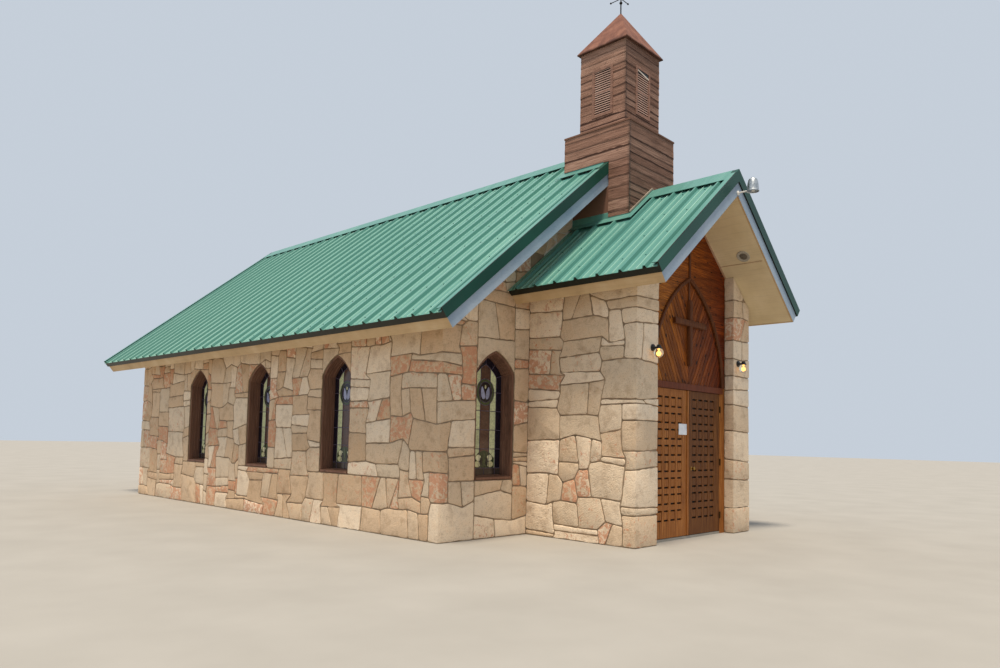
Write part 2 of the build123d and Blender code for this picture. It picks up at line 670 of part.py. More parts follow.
def porch_gable():
    """The timber infill over the doors, with the pointed panel, its moulding and the cross."""

    def from_face(sketch, front, back):
        plane = Plane(origin=(0, back, 0), x_dir=(1, 0, 0), z_dir=(0, -1, 0))
        return extrude(plane * sketch, amount=back - front)

    back = DOOR_FACE + GABLE_BOARDING
    panel_face = DOOR_FACE + ARCH_RECESS
    outline = [
        (-HALF_DOORWAY, LINTEL_TOP), (HALF_DOORWAY, LINTEL_TOP), (HALF_DOORWAY, PORCH.soffit(HALF_DOORWAY)),
        (0, PORCH.soffit(0)), (-HALF_DOORWAY, PORCH.soffit(HALF_DOORWAY)),
    ]
    boarding = along_y(outline, DOOR_FACE, back) - from_face(arch_outline(), DOOR_FACE - 1, back + 1)
    panel = from_face(arch_outline(), panel_face, back)
    ring = arch_outline(MOULDING_WIDTH / 2) - arch_outline(-MOULDING_WIDTH / 2)
    moulding = from_face(ring, DOOR_FACE - MOULDING_PROUD, DOOR_FACE)
    half_arm, half_post = CROSS_SPAN / 2, CROSS_POST / 2
    face = panel_face - CROSS_PROUD
    post = block(-half_post, half_post, face, panel_face, CROSS_FOOT, CROSS_FOOT + CROSS_HEIGHT)
    arm_z0 = CROSS_FOOT + CROSS_ARM_ABOVE_FOOT - CROSS_BEAM / 2
    arm = block(-half_arm, half_arm, face, panel_face, arm_z0, arm_z0 + CROSS_BEAM)
    return {
        "porch_gable_boarding": boarding,
        "arch_panel": panel,
        "arch_moulding": moulding,
        "gable_cross": post + arm,
    }


def sconce():
    """The right-hand wall lamp: back plate, arm, hood and globe."""
    face = PORCH_FRONT
    globe_y = face - SCONCE_REACH
    globe_z = SCONCE_HEIGHT - SCONCE_DROP
    outward = Pos(0, face, SCONCE_HEIGHT) * Rot(90, 0, 0)
    lamp = outward * rod(SCONCE_PLATE, SCONCE_PLATE_DEPTH, LAMP_SIDES)
    lamp += outward * rod(SCONCE_ARM, SCONCE_REACH, LAMP_SIDES // 2)
    hood = [(SCONCE_HOOD, 0), (SCONCE_HOOD / 2, SCONCE_HOOD_HEIGHT)]
    lamp += Pos(0, globe_y, globe_z + SCONCE_GLOBE - SCONCE_HOOD_LAP) * turned(hood, LAMP_SIDES)
    lamp += Pos(0, globe_y, globe_z) * ball(SCONCE_GLOBE, LAMP_SIDES, GLOBE_RINGS)
    return Pos(HALF_DOORWAY + SCONCE_BESIDE_DOORWAY, 0, 0) * lamp


def yard_light():
    """The bell-shaped lamp on a short arm at the porch's gable, with its light sensor on top."""
    middle_y = FASCIA_FRONT - YARD_LIGHT_REACH
    top = YARD_LIGHT_RIM + YARD_LIGHT_HEIGHT
    sheet = YARD_LIGHT_SHEET
    outer = [(YARD_LIGHT_RADIUS, 0), (YARD_LIGHT_TOP_RADIUS, YARD_LIGHT_HEIGHT)]
    inner = [(radius - sheet, z - sheet) for radius, z in outer]
    bell = Pos(0, 0, YARD_LIGHT_RIM) * (turned(outer, LAMP_SIDES) - turned(inner, LAMP_SIDES))
    bell += Pos(0, 0, top) * rod(YARD_LIGHT_SENSOR, YARD_LIGHT_SENSOR, LAMP_SIDES)
    lamp_foot = top - sheet - YARD_LIGHT_LAMP_LENGTH
    bell += Pos(0, 0, lamp_foot) * rod(YARD_LIGHT_LAMP, YARD_LIGHT_LAMP_LENGTH, LAMP_SIDES)
    reach = YARD_LIGHT_REACH - YARD_LIGHT_RADIUS + 3 * sheet
    arm_z = YARD_LIGHT_RIM + YARD_LIGHT_ARM
    arm = Pos(0, YARD_LIGHT_REACH, arm_z) * Rot(90, 0, 0) * rod(YARD_LIGHT_ARM / 2, reach, LAMP_SIDES // 2)
    return Pos(0, middle_y, 0) * (bell + arm)


def soffit_light():
    """The round light let on to the porch's right-hand soffit."""
    x, z = PORCH.at(SOFFIT_LIGHT_DOWN, -RAFTER_DEPTH)
    y = PORCH_FRONT - SOFFIT_LIGHT_OUT
    plane = Plane(origin=(x, y, z), x_dir=(0, 1, 0), z_dir=(-SIN, 0, -COS))
    return plane.location * rod(SOFFIT_LIGHT_RADIUS, SOFFIT_LIGHT_DEPTH, LAMP_SIDES)


def chapel():
    """Every node of the chapel, by name."""
    nodes = {}
    nodes.update(floor())
    nodes.update(walls())
    nodes.update(porch_walls())
    nodes.update(windows())
    nodes.update(roofs())
    nodes["steeple_base"] = steeple_base()
    nodes["steeple_flashing"] = steeple_flashing()
    nodes.update(belfry())
    nodes["spire_roof"] = spire()
    nodes["weathervane"] = weathervane()
    nodes.update(door_frame())
    nodes["door_leaf_right"] = door_leaf(NARROW_STILE, WIDE_STILE)
    nodes["door_leaf_left"] = mirrored(door_leaf(WIDE_STILE, NARROW_STILE))
    nodes.update(door_furniture())
    nodes.update(porch_gable())
    right_sconce, right_soffit = sconce(), soffit_light()
    nodes["porch_sconces"] = Compound([right_sconce.solid(), mirrored(right_sconce).solid()])
    nodes["gable_light"] = yard_light()
    nodes["soffit_lights"] = Compound([right_soffit.solid(), mirrored(right_soffit).solid()])
    return nodes


os.makedirs("parts", exist_ok=True)
for node_name, shape in chapel().items():
    export_step(Pos(0, -MIDDLE_Y, 0) * shape, f"parts/{node_name}.step")
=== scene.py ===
"""Looks of a small stone chapel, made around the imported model: metres, +Z up, the doors face -Y."""

import math
import random

import bpy
from mathutils import Matrix, Vector


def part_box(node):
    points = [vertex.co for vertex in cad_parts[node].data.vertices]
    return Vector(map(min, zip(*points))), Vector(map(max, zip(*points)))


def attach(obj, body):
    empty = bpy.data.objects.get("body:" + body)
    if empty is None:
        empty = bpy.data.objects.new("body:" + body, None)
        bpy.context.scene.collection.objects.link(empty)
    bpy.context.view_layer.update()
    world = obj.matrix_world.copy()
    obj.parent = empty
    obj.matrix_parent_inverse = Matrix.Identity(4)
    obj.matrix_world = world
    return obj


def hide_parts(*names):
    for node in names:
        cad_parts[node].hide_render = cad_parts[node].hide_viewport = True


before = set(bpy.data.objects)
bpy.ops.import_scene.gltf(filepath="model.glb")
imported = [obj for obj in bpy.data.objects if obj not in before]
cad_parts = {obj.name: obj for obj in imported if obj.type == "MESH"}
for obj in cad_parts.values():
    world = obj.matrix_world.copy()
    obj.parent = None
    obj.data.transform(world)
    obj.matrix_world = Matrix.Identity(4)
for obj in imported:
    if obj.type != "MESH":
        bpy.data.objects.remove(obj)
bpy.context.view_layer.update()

# Places of the main forms, from the frame
NAVE_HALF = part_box("nave_right_wall")[1].x
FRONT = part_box("nave_right_wall")[0].y
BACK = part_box("nave_right_wall")[1].y
INNER_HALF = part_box("nave_right_wall")[0].x
PORCH_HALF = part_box("porch_right_pier")[1].x
DOORWAY_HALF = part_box("porch_right_pier")[0].x
PORCH_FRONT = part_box("porch_right_pier")[0].y
DOOR_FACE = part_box("door_jambs")[0].y
LINTEL_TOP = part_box("door_lintel")[1].z

# Roofs: u runs down a slope from the ridge, w is square to it; the eaves hang out past the walls
PITCH = math.radians(39.5)
TAN, COS, SIN = math.tan(PITCH), math.cos(PITCH), math.sin(PITCH)
BATTEN = 0.090
SHEET = 0.003
RIB_HEIGHT = 0.038
RIB_PITCH = 0.326
RAFTER = 0.145
NAVE_EAVE = NAVE_HALF + 0.510
PORCH_EAVE = PORCH_HALF + 0.380
NAVE_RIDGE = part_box("nave_roof_right")[1].z - BATTEN / COS
PORCH_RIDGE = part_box("porch_roof_right")[1].z - BATTEN / COS

# Stonework: joints, how far a stone's back and face stand out of the mortar, and how its front is rounded
JOINT = 0.017
STONE_BED = -0.003
STONE_PROUD = 0.010
STONE_ROUNDING = 0.009
CELL_WIDTH = 0.115
CELL_HEIGHT = 0.092
LEAST_STONE_AREA = 0.0022
RED_STONE_AREA = 0.17
RED_SHARE = 0.21

# Pointed windows
WINDOW_HALF = 0.365
WINDOW_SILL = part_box("front_window_frames")[0].z
WINDOW_SPRING = 2.160
WINDOW_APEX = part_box("front_window_frames")[1].z
WINDOW_RADIUS = 0.700
FRAME_FACE = 0.035
SIDE_WINDOW_SPACING = 2.225
SIDE_WINDOWS = [
    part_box("nave_right_window_frames")[0].y + WINDOW_HALF + i * SIDE_WINDOW_SPACING for i in range(3)
]
FRONT_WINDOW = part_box("front_window_frames")[1].x - WINDOW_HALF

# Leaded lights: a window's place along its own piece of wall, half widths, heights and the oval
WINDOW_PLACE = 1.0
GLASS_FACE = -0.190
CLEAR_HALF = 0.303
BORDER_HALF = 0.205
BAND_HALF = 0.090
GLASS_FOOT = WINDOW_SILL + 0.062
STRIP_TOP = WINDOW_SILL + 0.150
ORNAMENT_TOP = WINDOW_SILL + 0.385
MEDALLION = (0.0, 1.905)
OVAL = (0.165, 0.178)
INNER_OVAL = (OVAL[0] * 0.74, OVAL[1] * 0.77)
CROSSBARS = [STRIP_TOP + 0.253 * i for i in range(1, 6)]

# The photograph's viewpoint: yaw from +Y towards +X, pitch and roll in degrees
CAMERA_PLACE = Vector((-9.2129, -10.5622, 1.2685))
CAMERA_ANGLES = (46.0835, 3.9418, 1.2683)
CAMERA_LENS = 26.9475
CAMERA_SHIFT = 0.0546

# The least distance that counts, the tone of a piece that needs none, and two ways to mix colours
TINY = 1e-5
PLAIN_TONE = (0.5, 0, 0, 0)
MIXED = {"data_type": "RGBA"}
STAINED = {"data_type": "RGBA", "blend_type": "MULTIPLY"}


def linear(colour):
    """An sRGB hex colour as the linear one that a shader takes."""
    parts = [int(colour[i:i + 2], 16) / 255 for i in (1, 3, 5)]
    return [p / 12.92 if p <= 0.04045 else ((p + 0.055) / 1.055) ** 2.4 for p in parts] + [1.0]


def per(size):
    """How often a pattern of a size in millimetres repeats in a metre."""
    return 1000 / size


def add(tree, kind, inputs=None, stops=None, **settings):
    """Adds a node with its settings, and gives each input its value or its link; a ramp takes its stops."""
    node = tree.nodes.new("ShaderNode" + kind)
    for name, value in settings.items():
        setattr(node, name, value)
    for name, value in (inputs or {}).items():
        if isinstance(value, bpy.types.Node):
            value = next(output for output in value.outputs if output.enabled)
        if isinstance(value, bpy.types.NodeSocket):
            tree.links.new(value, node.inputs[name])
        else:
            node.inputs[name].default_value = value
    if stops:
        elements = node.color_ramp.elements
        elements.remove(elements[1])
        elements[0].position, elements[0].color = stops[0][0], linear(stops[0][1])
        for place, colour in stops[1:]:
            elements.new(place).color = linear(colour)
    return node


def new_material(name):
    """A material with an empty node tree."""
    made = bpy.data.materials.new(name)
    made.use_nodes = True
    made.node_tree.nodes.clear()
    return made, made.node_tree


class Shape:
    """The points and faces of a piece, with a tone and a place in the grain at each point."""

    def __init__(self):
        self.points, self.faces, self.tones, self.grains = [], [], [], []

    def ring(self, points, tone=PLAIN_TONE, grains=None):
        """Adds points; the tone is one for all of them or a list with one for each."""
        start = len(self.points)
        self.points += [tuple(p) for p in points]
        self.tones += tone if isinstance(tone, list) else [tuple(tone)] * len(points)
        self.grains += grains or [(0, 0, 0)] * len(points)
        return list(range(start, len(self.points)))

    def bridge(self, first, second, closed=True):
        """Joins two rings of as many points with four-sided faces."""
        count = len(first)
        for i in range(count if closed else count - 1):
            j = (i + 1) % count
            self.faces.append((first[i], first[j], second[j], second[i]))

    def cap(self, ring):
        """Closes a ring with one face."""
        if len(ring) > 2:
            self.faces.append(tuple(ring))

    def solid(self, rings):
        """Joins rings one after another and closes both ends."""
        for first, second in zip(rings, rings[1:]):
            self.bridge(first, second)
        self.cap(rings[0][::-1])
        self.cap(rings[-1])


def piece(name, shape, finish, body="building", smooth=30, replaces=()):
    """Makes a piece of the chapel from a shape, with its finish: it rides on its body."""
    mesh = bpy.data.meshes.new(name)
    mesh.from_pydata(shape.points, [], shape.faces)
    tone = mesh.attributes.new("tone", "FLOAT_COLOR", "POINT")
    tone.data.foreach_set("color", [part for value in shape.tones for part in value])
    grain = mesh.attributes.new("grain", "FLOAT_VECTOR", "POINT")
    grain.data.foreach_set("vector", [part for value in shape.grains for part in value])
    mesh.materials.append(finish)
    mesh.shade_smooth()
    mesh.set_sharp_from_angle(angle=math.radians(smooth))
    made = bpy.data.objects.new(name, mesh)
    bpy.context.scene.collection.objects.link(made)
    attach(made, body)
    if replaces:
        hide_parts(*replaces)


def clip(outline, point, normal):
    """What is left of an outline on the side of a line that the normal points to."""
    kept = []
    for a, b in zip(outline, outline[1:] + outline[:1]):
        side_a = (a[0] - point[0]) * normal[0] + (a[1] - point[1]) * normal[1]
        side_b = (b[0] - point[0]) * normal[0] + (b[1] - point[1]) * normal[1]
        if side_a >= 0:
            kept.append(a)
        if (side_a >= 0) != (side_b >= 0):
            share = side_a / (side_a - side_b)
            kept.append((a[0] + (b[0] - a[0]) * share, a[1] + (b[1] - a[1]) * share))
    return kept


def area(outline):
    """The area of an outline, positive when it runs anticlockwise."""
    return sum(a[0] * b[1] - b[0] * a[1] for a, b in zip(outline, outline[1:] + outline[:1])) / 2


def inside_span(a, b, hole):
    """The stretch of a line that lies in a convex hole: its two shares and the hole's edges there."""
    start, end, edge_in, edge_out = -1e9, 1e9, 0, 0
    for i, (p, q) in enumerate(zip(hole, hole[1:] + hole[:1])):
        normal = (p[1] - q[1], q[0] - p[0])
        side = (a[0] - p[0]) * normal[0] + (a[1] - p[1]) * normal[1]
        change = (b[0] - a[0]) * normal[0] + (b[1] - a[1]) * normal[1]
        if abs(change) < 1e-12:
            if side < 0:
                return None
            continue
        share = -side / change
        if change > 0 and share > start:
            start, edge_in = share, i
        if change < 0 and share < end:
            end, edge_out = share, i
    return (start, edge_in, end, edge_out) if start < end else None


def outside_parts(outline, hole):
    """What is left of an outline outside a convex hole, both anticlockwise."""

    def on_edge(a, b, share, edge):
        """A point on an edge of the hole, and its place along the hole's outline."""
        point = (a[0] + (b[0] - a[0]) * share, a[1] + (b[1] - a[1]) * share)
        p, q = hole[edge], hole[(edge + 1) % len(hole)]
        return point, edge + min(math.dist(p, point) / math.dist(p, q), 0.9999)

    chains, chain = [], {"points": [], "start": None, "end": None}
    for a, b in zip(outline, outline[1:] + outline[:1]):
        span = inside_span(a, b, hole)
        if span is None or span[0] > 1 or span[2] < 0:
            chain["points"].append(a)
            continue
        if span[0] > 0:
            chain["points"].append(a)
            point, chain["end"] = on_edge(a, b, span[0], span[1])
            chain["points"].append(point)
            chains.append(chain)
        if span[2] < 1:
            point, place = on_edge(a, b, span[2], span[3])
            chain = {"points": [point], "start": place, "end": None}
    if chain["end"] is None and chain["points"]:
        if not chains:
            return [outline] if chain["start"] is None else []
        chains[0] = {"points": chain["points"] + chains[0]["points"],
                     "start": chain["start"], "end": chains[0]["end"]}
    parts, left, count = [], list(chains), len(hole)
    while left:
        current = left.pop(0)
        points, first = list(current["points"]), current["start"]
        for _ in range(len(chains)):
            ahead = sorted(left, key=lambda c: (current["end"] - c["start"]) % count)
            loop = (current["end"] - first) % count
            follower = ahead[0] if ahead and (current["end"] - ahead[0]["start"]) % count < loop else None
            target = follower["start"] if follower else first
            corner = math.floor(current["end"])
            steps = (corner - math.floor(target)) % count
            if steps == 0 and (current["end"] - target) % count > 1:
                steps = count
            points += [hole[(corner - i) % count] for i in range(steps)]
            if follower is None:
                break
            left.remove(follower)
            points += follower["points"]
            current = follower
        parts.append(points)
    return parts


def inset(outline, distance):
    """An outline moved inwards, square to its edges."""
    moved, count = [], len(outline)
    for i, (x, y) in enumerate(outline):
        before, after = outline[i - 1], outline[(i + 1) % count]
        first, second = math.dist(before, (x, y)) or TINY, math.dist((x, y), after) or TINY
        across = ((before[1] - y) / first + (y - after[1]) / second,
                  (x - before[0]) / first + (after[0] - x) / second)
        scale = distance / max((across[0] ** 2 + across[1] ** 2) / 2, 0.35)
        moved.append((x + across[0] * scale, y + across[1] * scale))
    return moved


def softened(outline, radius):
    """An outline whose corners are cut back along both edges."""
    points, count = [], len(outline)
    for i, corner in enumerate(outline):
        for other in (outline[i - 1], outline[(i + 1) % count]):
            share = min(radius / (math.dist(corner, other) or TINY), 0.34)
            points.append((corner[0] + (other[0] - corner[0]) * share,
                           corner[1] + (other[1] - corner[1]) * share))
    return points


def cleaned(outline, least):
    """An outline without points that lie closer together than the least distance."""
    kept = []
    for point in outline:
        if not kept or math.dist(point, kept[-1]) > least:
            kept.append(point)
    while len(kept) > 2 and math.dist(kept[0], kept[-1]) <= least:
        kept.pop()
    return kept


def roughened(outline, step, shake, chance):
    """An outline with more points along its edges, each shaken a little."""
    points = []
    for a, b in zip(outline, outline[1:] + outline[:1]):
        count = max(1, round(math.dist(a, b) / step))
        points.append(a)
        for i in range(1, count):
            points.append((a[0] + (b[0] - a[0]) * i / count + chance.gauss(0, shake),
                           a[1] + (b[1] - a[1]) * i / count + chance.gauss(0, shake)))
    return points


def crosses(outline):
    """Whether an outline runs over itself."""

    def turn(a, b, c):
        """Which way the path turns at its second point: more than nought is to the left."""
        return (b[0] - a[0]) * (c[1] - a[1]) - (b[1] - a[1]) * (c[0] - a[0])

    edges = list(zip(outline, outline[1:] + outline[:1]))
    for i, (a, b) in enumerate(edges):
        for c, d in edges[i + 2:len(edges) - (i == 0)]:
            if turn(a, b, c) * turn(a, b, d) < 0 and turn(c, d, a) * turn(c, d, b) < 0:
                return True
    return False


class Unrolled:
    """Walls unrolled along their foot: s runs along the path, z is up, and depth stands out of the face."""

    def __init__(self, corners):
        self.legs, self.length = [], 0.0
        for a, b in zip(corners, corners[1:]):
            along = Vector(b) - Vector(a)
            end = self.length + along.length
            along.normalize()
            self.legs.append((self.length, end, Vector(a), along, Vector((along.y, -along.x))))
            self.length = end
        self.folds = [leg[0] for leg in self.legs[1:]]

    def place(self, s, z, depth):
        """The point in space; on a fold it stands out of both faces."""
        met = [leg for leg in self.legs if leg[0] - TINY <= s <= leg[1] + TINY]
        met = met or [self.legs[0] if s < 0 else self.legs[-1]]
        start, _, corner, along, _ = met[0]
        out = sum((leg[4] for leg in met), Vector((0, 0)))
        spot = corner + along * (s - start) + out * depth
        return spot.x, spot.y, z

    def with_folds(self, outline):
        """An outline with a point wherever it crosses a fold."""
        points = []
        for a, b in zip(outline, outline[1:] + outline[:1]):
            points.append(a)
            crossed = [f for f in self.folds if min(a[0], b[0]) + TINY < f < max(a[0], b[0]) - TINY]
            for fold in sorted(crossed, reverse=a[0] > b[0]):
                points.append((fold, a[1] + (b[1] - a[1]) * (fold - a[0]) / (b[0] - a[0])))
        return points


def slab(shape, wall, outline, levels, tone=(0.5, 0, 0, 0), grain=None, tilt=(0, 0)):
    """A slab on a wall: a ring of points for each (depth, inset), and a front that folds with the wall."""
    base = wall.with_folds(outline)
    on_fold = [next((f for f in wall.folds if abs(p[0] - f) < TINY), None) for p in base]
    middle = (sum(p[0] for p in base) / len(base), sum(p[1] for p in base) / len(base))
    rings = []
    for number, (depth, edge) in enumerate(levels):
        flat = inset(base, edge) if edge else base
        flat = [(fold if fold is not None else p[0], p[1]) for p, fold in zip(flat, on_fold)]
        lean = min(number, 1)
        points = [
            wall.place(s, max(z, 0), depth + lean * (tilt[0] * (s - middle[0]) + tilt[1] * (z - middle[1])))
            for s, z in flat
        ]
        grains = [grain(s, z) for s, z in flat] if grain else None
        rings.append(shape.ring(points, tone, grains))
        if number:
            shape.bridge(rings[-2], rings[-1])
    for start, end, *_ in wall.legs:
        face = [i for i, (s, z) in zip(rings[-1], flat) if start - TINY <= s <= end + TINY]
        shape.cap(face)


def half_arch(centre, radius, half, steps):
    """The right-hand arc of a pointed arch, from its foot at a half width up to the middle: (across, up)."""
    low, high = math.acos((half - centre[0]) / radius), math.acos(-centre[0] / radius)
    turns = [low + (high - low) * i / steps for i in range(steps + 1)]
    return [(centre[0] + radius * math.cos(t), centre[1] + radius * math.sin(t)) for t in turns]


def window_arc(grow, steps):
    """The right-hand arc of the window's outline, moved out by a distance."""
    chord = Vector((-WINDOW_HALF, WINDOW_APEX - WINDOW_SPRING))
    middle = Vector((WINDOW_HALF / 2, (WINDOW_SPRING + WINDOW_APEX) / 2))
    out = Vector((chord.y, -chord.x)).normalized()
    centre = middle - out * math.sqrt(WINDOW_RADIUS ** 2 - chord.length_squared / 4)
    return half_arch(centre, WINDOW_RADIUS + grow, WINDOW_HALF + grow, steps)


def pointed(grow, steps):
    """The window's pointed outline, anticlockwise, moved out by a distance: (across, up)."""
    arc, half = window_arc(grow, steps), WINDOW_HALF + grow
    return [(-half, WINDOW_SILL - grow), (half, WINDOW_SILL - grow)] + arc + [(-x, z) for x, z in arc[-2::-1]]


def limestone():
    """Limestone split and roughly dressed: chalky and matt, warm buff, some stones mottled red with iron."""
    finish, tree = new_material("split_limestone")
    tone = add(tree, "Attribute", attribute_name="tone")
    parts = add(tree, "SeparateColor", {"Color": tone})
    place = add(tree, "TexCoord").outputs["Object"]
    shift = add(tree, "VectorMath", {0: place, 1: tone}, operation="ADD")
    base = add(tree, "ValToRGB", {"Fac": parts.outputs["Red"]}, stops=[
        (0.0, "#BA9C7C"), (0.25, "#CFB190"), (0.5, "#DCC0A0"), (0.75, "#DAC5AA"), (1.0, "#F4E0C6")])
    clouds = add(tree, "TexNoise", {"Vector": shift, "Scale": per(160), "Detail": 6.0, "Roughness": 0.62})
    cloud_tint = add(tree, "ValToRGB", {"Fac": clouds}, stops=[
        (0.3, "#A68A66"), (0.5, "#FFFFFF"), (0.72, "#FFF2E2")])
    tinted = add(tree, "Mix", {"Factor": 0.4, "A": base, "B": cloud_tint}, **STAINED)
    stains = add(tree, "TexNoise", {"Vector": shift, "Scale": per(70), "Detail": 5.0, "Roughness": 0.66,
                                    "Distortion": 0.8})
    reach = add(tree, "Math", {0: parts.outputs["Green"], 1: 0.30, 2: -0.26}, operation="MULTIPLY_ADD")
    stained = add(tree, "Math", {0: stains, 1: reach}, operation="ADD")
    stain_edge = add(tree, "ValToRGB", {"Fac": stained}, stops=[(0.45, "#000000"), (0.52, "#E6E6E6")])
    rusty = add(tree, "Mix", {"Factor": stain_edge, "A": tinted, "B": linear("#D09270")}, **MIXED)
    fine = add(tree, "TexNoise", {"Vector": shift, "Scale": per(14), "Detail": 4.0, "Roughness": 0.7})
    speck = add(tree, "ValToRGB", {"Fac": fine}, stops=[(0.34, "#86704E"), (0.46, "#FFFFFF")])
    specked = add(tree, "Mix", {"Factor": 0.4, "A": rusty, "B": speck}, **STAINED)
    pits = add(tree, "TexVoronoi", {"Vector": shift, "Scale": per(45), "Randomness": 1.0})
    pit = add(tree, "ValToRGB", {"Fac": pits}, stops=[(0.12, "#000000"), (0.3, "#FFFFFF")])
    pit_height = add(tree, "Math", {0: pit, 1: parts.outputs["Blue"]}, operation="MULTIPLY")
    slanted = add(tree, "VectorRotate", {"Vector": shift, "Axis": (1, 1, 0), "Angle": 0.7})
    combed = add(tree, "VectorMath", {0: slanted, 1: (per(60), per(60), per(11))}, operation="MULTIPLY")
    tooling = add(tree, "TexNoise", {"Vector": combed, "Scale": 1.0, "Detail": 3.0, "Roughness": 0.5})
    lumps = add(tree, "TexNoise", {"Vector": shift, "Scale": per(70), "Detail": 5.0, "Roughness": 0.55})
    marks = add(tree, "Math", {0: tooling, 1: fine}, operation="ADD")
    height = add(tree, "Math", {0: lumps, 1: marks}, operation="ADD")
    full_height = add(tree, "Math", {0: height, 1: pit_height}, operation="ADD")
    bump = add(tree, "Bump", {"Height": full_height, "Strength": 0.85, "Distance": 0.009})
    shader = add(tree, "BsdfPrincipled", {"Base Color": specked, "Roughness": 0.88,
                                          "Specular IOR Level": 0.3, "Normal": bump})
    add(tree, "OutputMaterial", {"Surface": shader})
    return finish


def within(tree, place, low, high):
    """One inside an upright box and nought outside it, whatever the height."""
    middle = ((low[0] + high[0]) / 2, (low[1] + high[1]) / 2, 0)
    size = (2 / (high[0] - low[0]), 2 / (high[1] - low[1]), 0)
    off = add(tree, "VectorMath", {0: place, 1: middle}, operation="SUBTRACT")
    share = add(tree, "VectorMath", {0: off, 1: size}, operation="MULTIPLY")
    sides = add(tree, "SeparateXYZ", {"Vector": add(tree, "VectorMath", {0: share}, operation="ABSOLUTE")})
    far = add(tree, "Math", {0: sides.outputs["X"], 1: sides.outputs["Y"]}, operation="MAXIMUM")
    return add(tree, "Math", {0: far, 1: 1.0}, operation="LESS_THAN")


def mortar():
    """Lime mortar, raked back: a grainy grey-brown line round each stone, and limewashed plaster indoors."""
    finish, tree = new_material("raked_mortar_and_plaster")
    place = add(tree, "TexCoord").outputs["Object"]
    clouds = add(tree, "TexNoise", {"Vector": place, "Scale": per(120), "Detail": 6.0, "Roughness": 0.6})
    outdoors = add(tree, "ValToRGB", {"Fac": clouds}, stops=[(0.3, "#7C6A56"), (0.7, "#A28C72")])
    indoors = add(tree, "ValToRGB", {"Fac": clouds}, stops=[(0.3, "#C9C2B4"), (0.7, "#DAD4C7")])
    lap, end_wall = 0.02, 0.28
    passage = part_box("porch_right_wall")[0].x + lap
    pier_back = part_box("porch_right_pier")[1].y - lap
    nave = within(tree, place, (-INNER_HALF - lap, FRONT + end_wall), (INNER_HALF + lap, BACK - end_wall))
    porch = within(tree, place, (-passage, pier_back), (passage, FRONT + 0.5))
    inside = add(tree, "Math", {0: nave, 1: porch}, operation="MAXIMUM")
    colour = add(tree, "Mix", {"Factor": inside, "A": outdoors, "B": indoors}, **MIXED)
    # Grains of sand are a millimetre or two; at 6 mm they show in the picture
    sand = add(tree, "TexNoise", {"Vector": place, "Scale": per(6), "Detail": 3.0})
    bump = add(tree, "Bump", {"Height": sand, "Strength": 0.6, "Distance": 0.003})
    shader = add(tree, "BsdfPrincipled", {"Base Color": colour, "Roughness": 0.95, "Normal": bump})
    add(tree, "OutputMaterial", {"Surface": shader})
    return finish


def spread(start, end, fixed, step, folds, chance):
    """Grid lines from start to end: one on each fixed place, the rest about a step apart, off the folds."""
    lines, marks = [start], [start] + sorted(fixed) + [end]
    for a, b in zip(marks, marks[1:]):
        count = max(1, round((b - a) / step))
        cuts = [a + (b - a) * (i + chance.uniform(-0.24, 0.24)) / count for i in range(1, count)]
        lines += [cut for cut in cuts if all(abs(cut - fold) > step * 0.6 for fold in folds)] + [b]
    return lines


def laid(columns, rows, blocked, chance):
    """Fills a grid with oblongs of cells from the bottom up; gives the oblongs and each cell's owner."""
    owner = [[-1 if blocked(c, r) else None for c in range(columns)] for r in range(rows)]
    oblongs = []
    for row in range(rows):
        for column in range(columns):
            if owner[row][column] is not None:
                continue
            wide = chance.choices((1, 2, 3, 4, 5, 6, 7), (0.7, 2, 4, 5, 5, 3, 1.5))[0]
            high = chance.choices((1, 2, 3, 4, 5), (0.8, 2, 5, 5, 2))[0]
            run = 1
            while run < wide and column + run < columns and owner[row][column + run] is None:
                run += 1
            left = 0
            while column + run + left < columns and owner[row][column + run + left] is None and left < 2:
                left += 1
            if left == 1:
                run += 1
            if run == 1:
                high = min(high, 3)
            elif high == 1 and run > 4:
                run = 4
            rise = 1
            while (rise < high and row + rise < rows
                   and all(owner[row + rise][column + i] is None for i in range(run))):
                rise += 1
            for r in range(row, row + rise):
                for c in range(column, column + run):
                    owner[r][c] = len(oblongs)
            oblongs.append((column, row, run, rise))
    return oblongs, owner


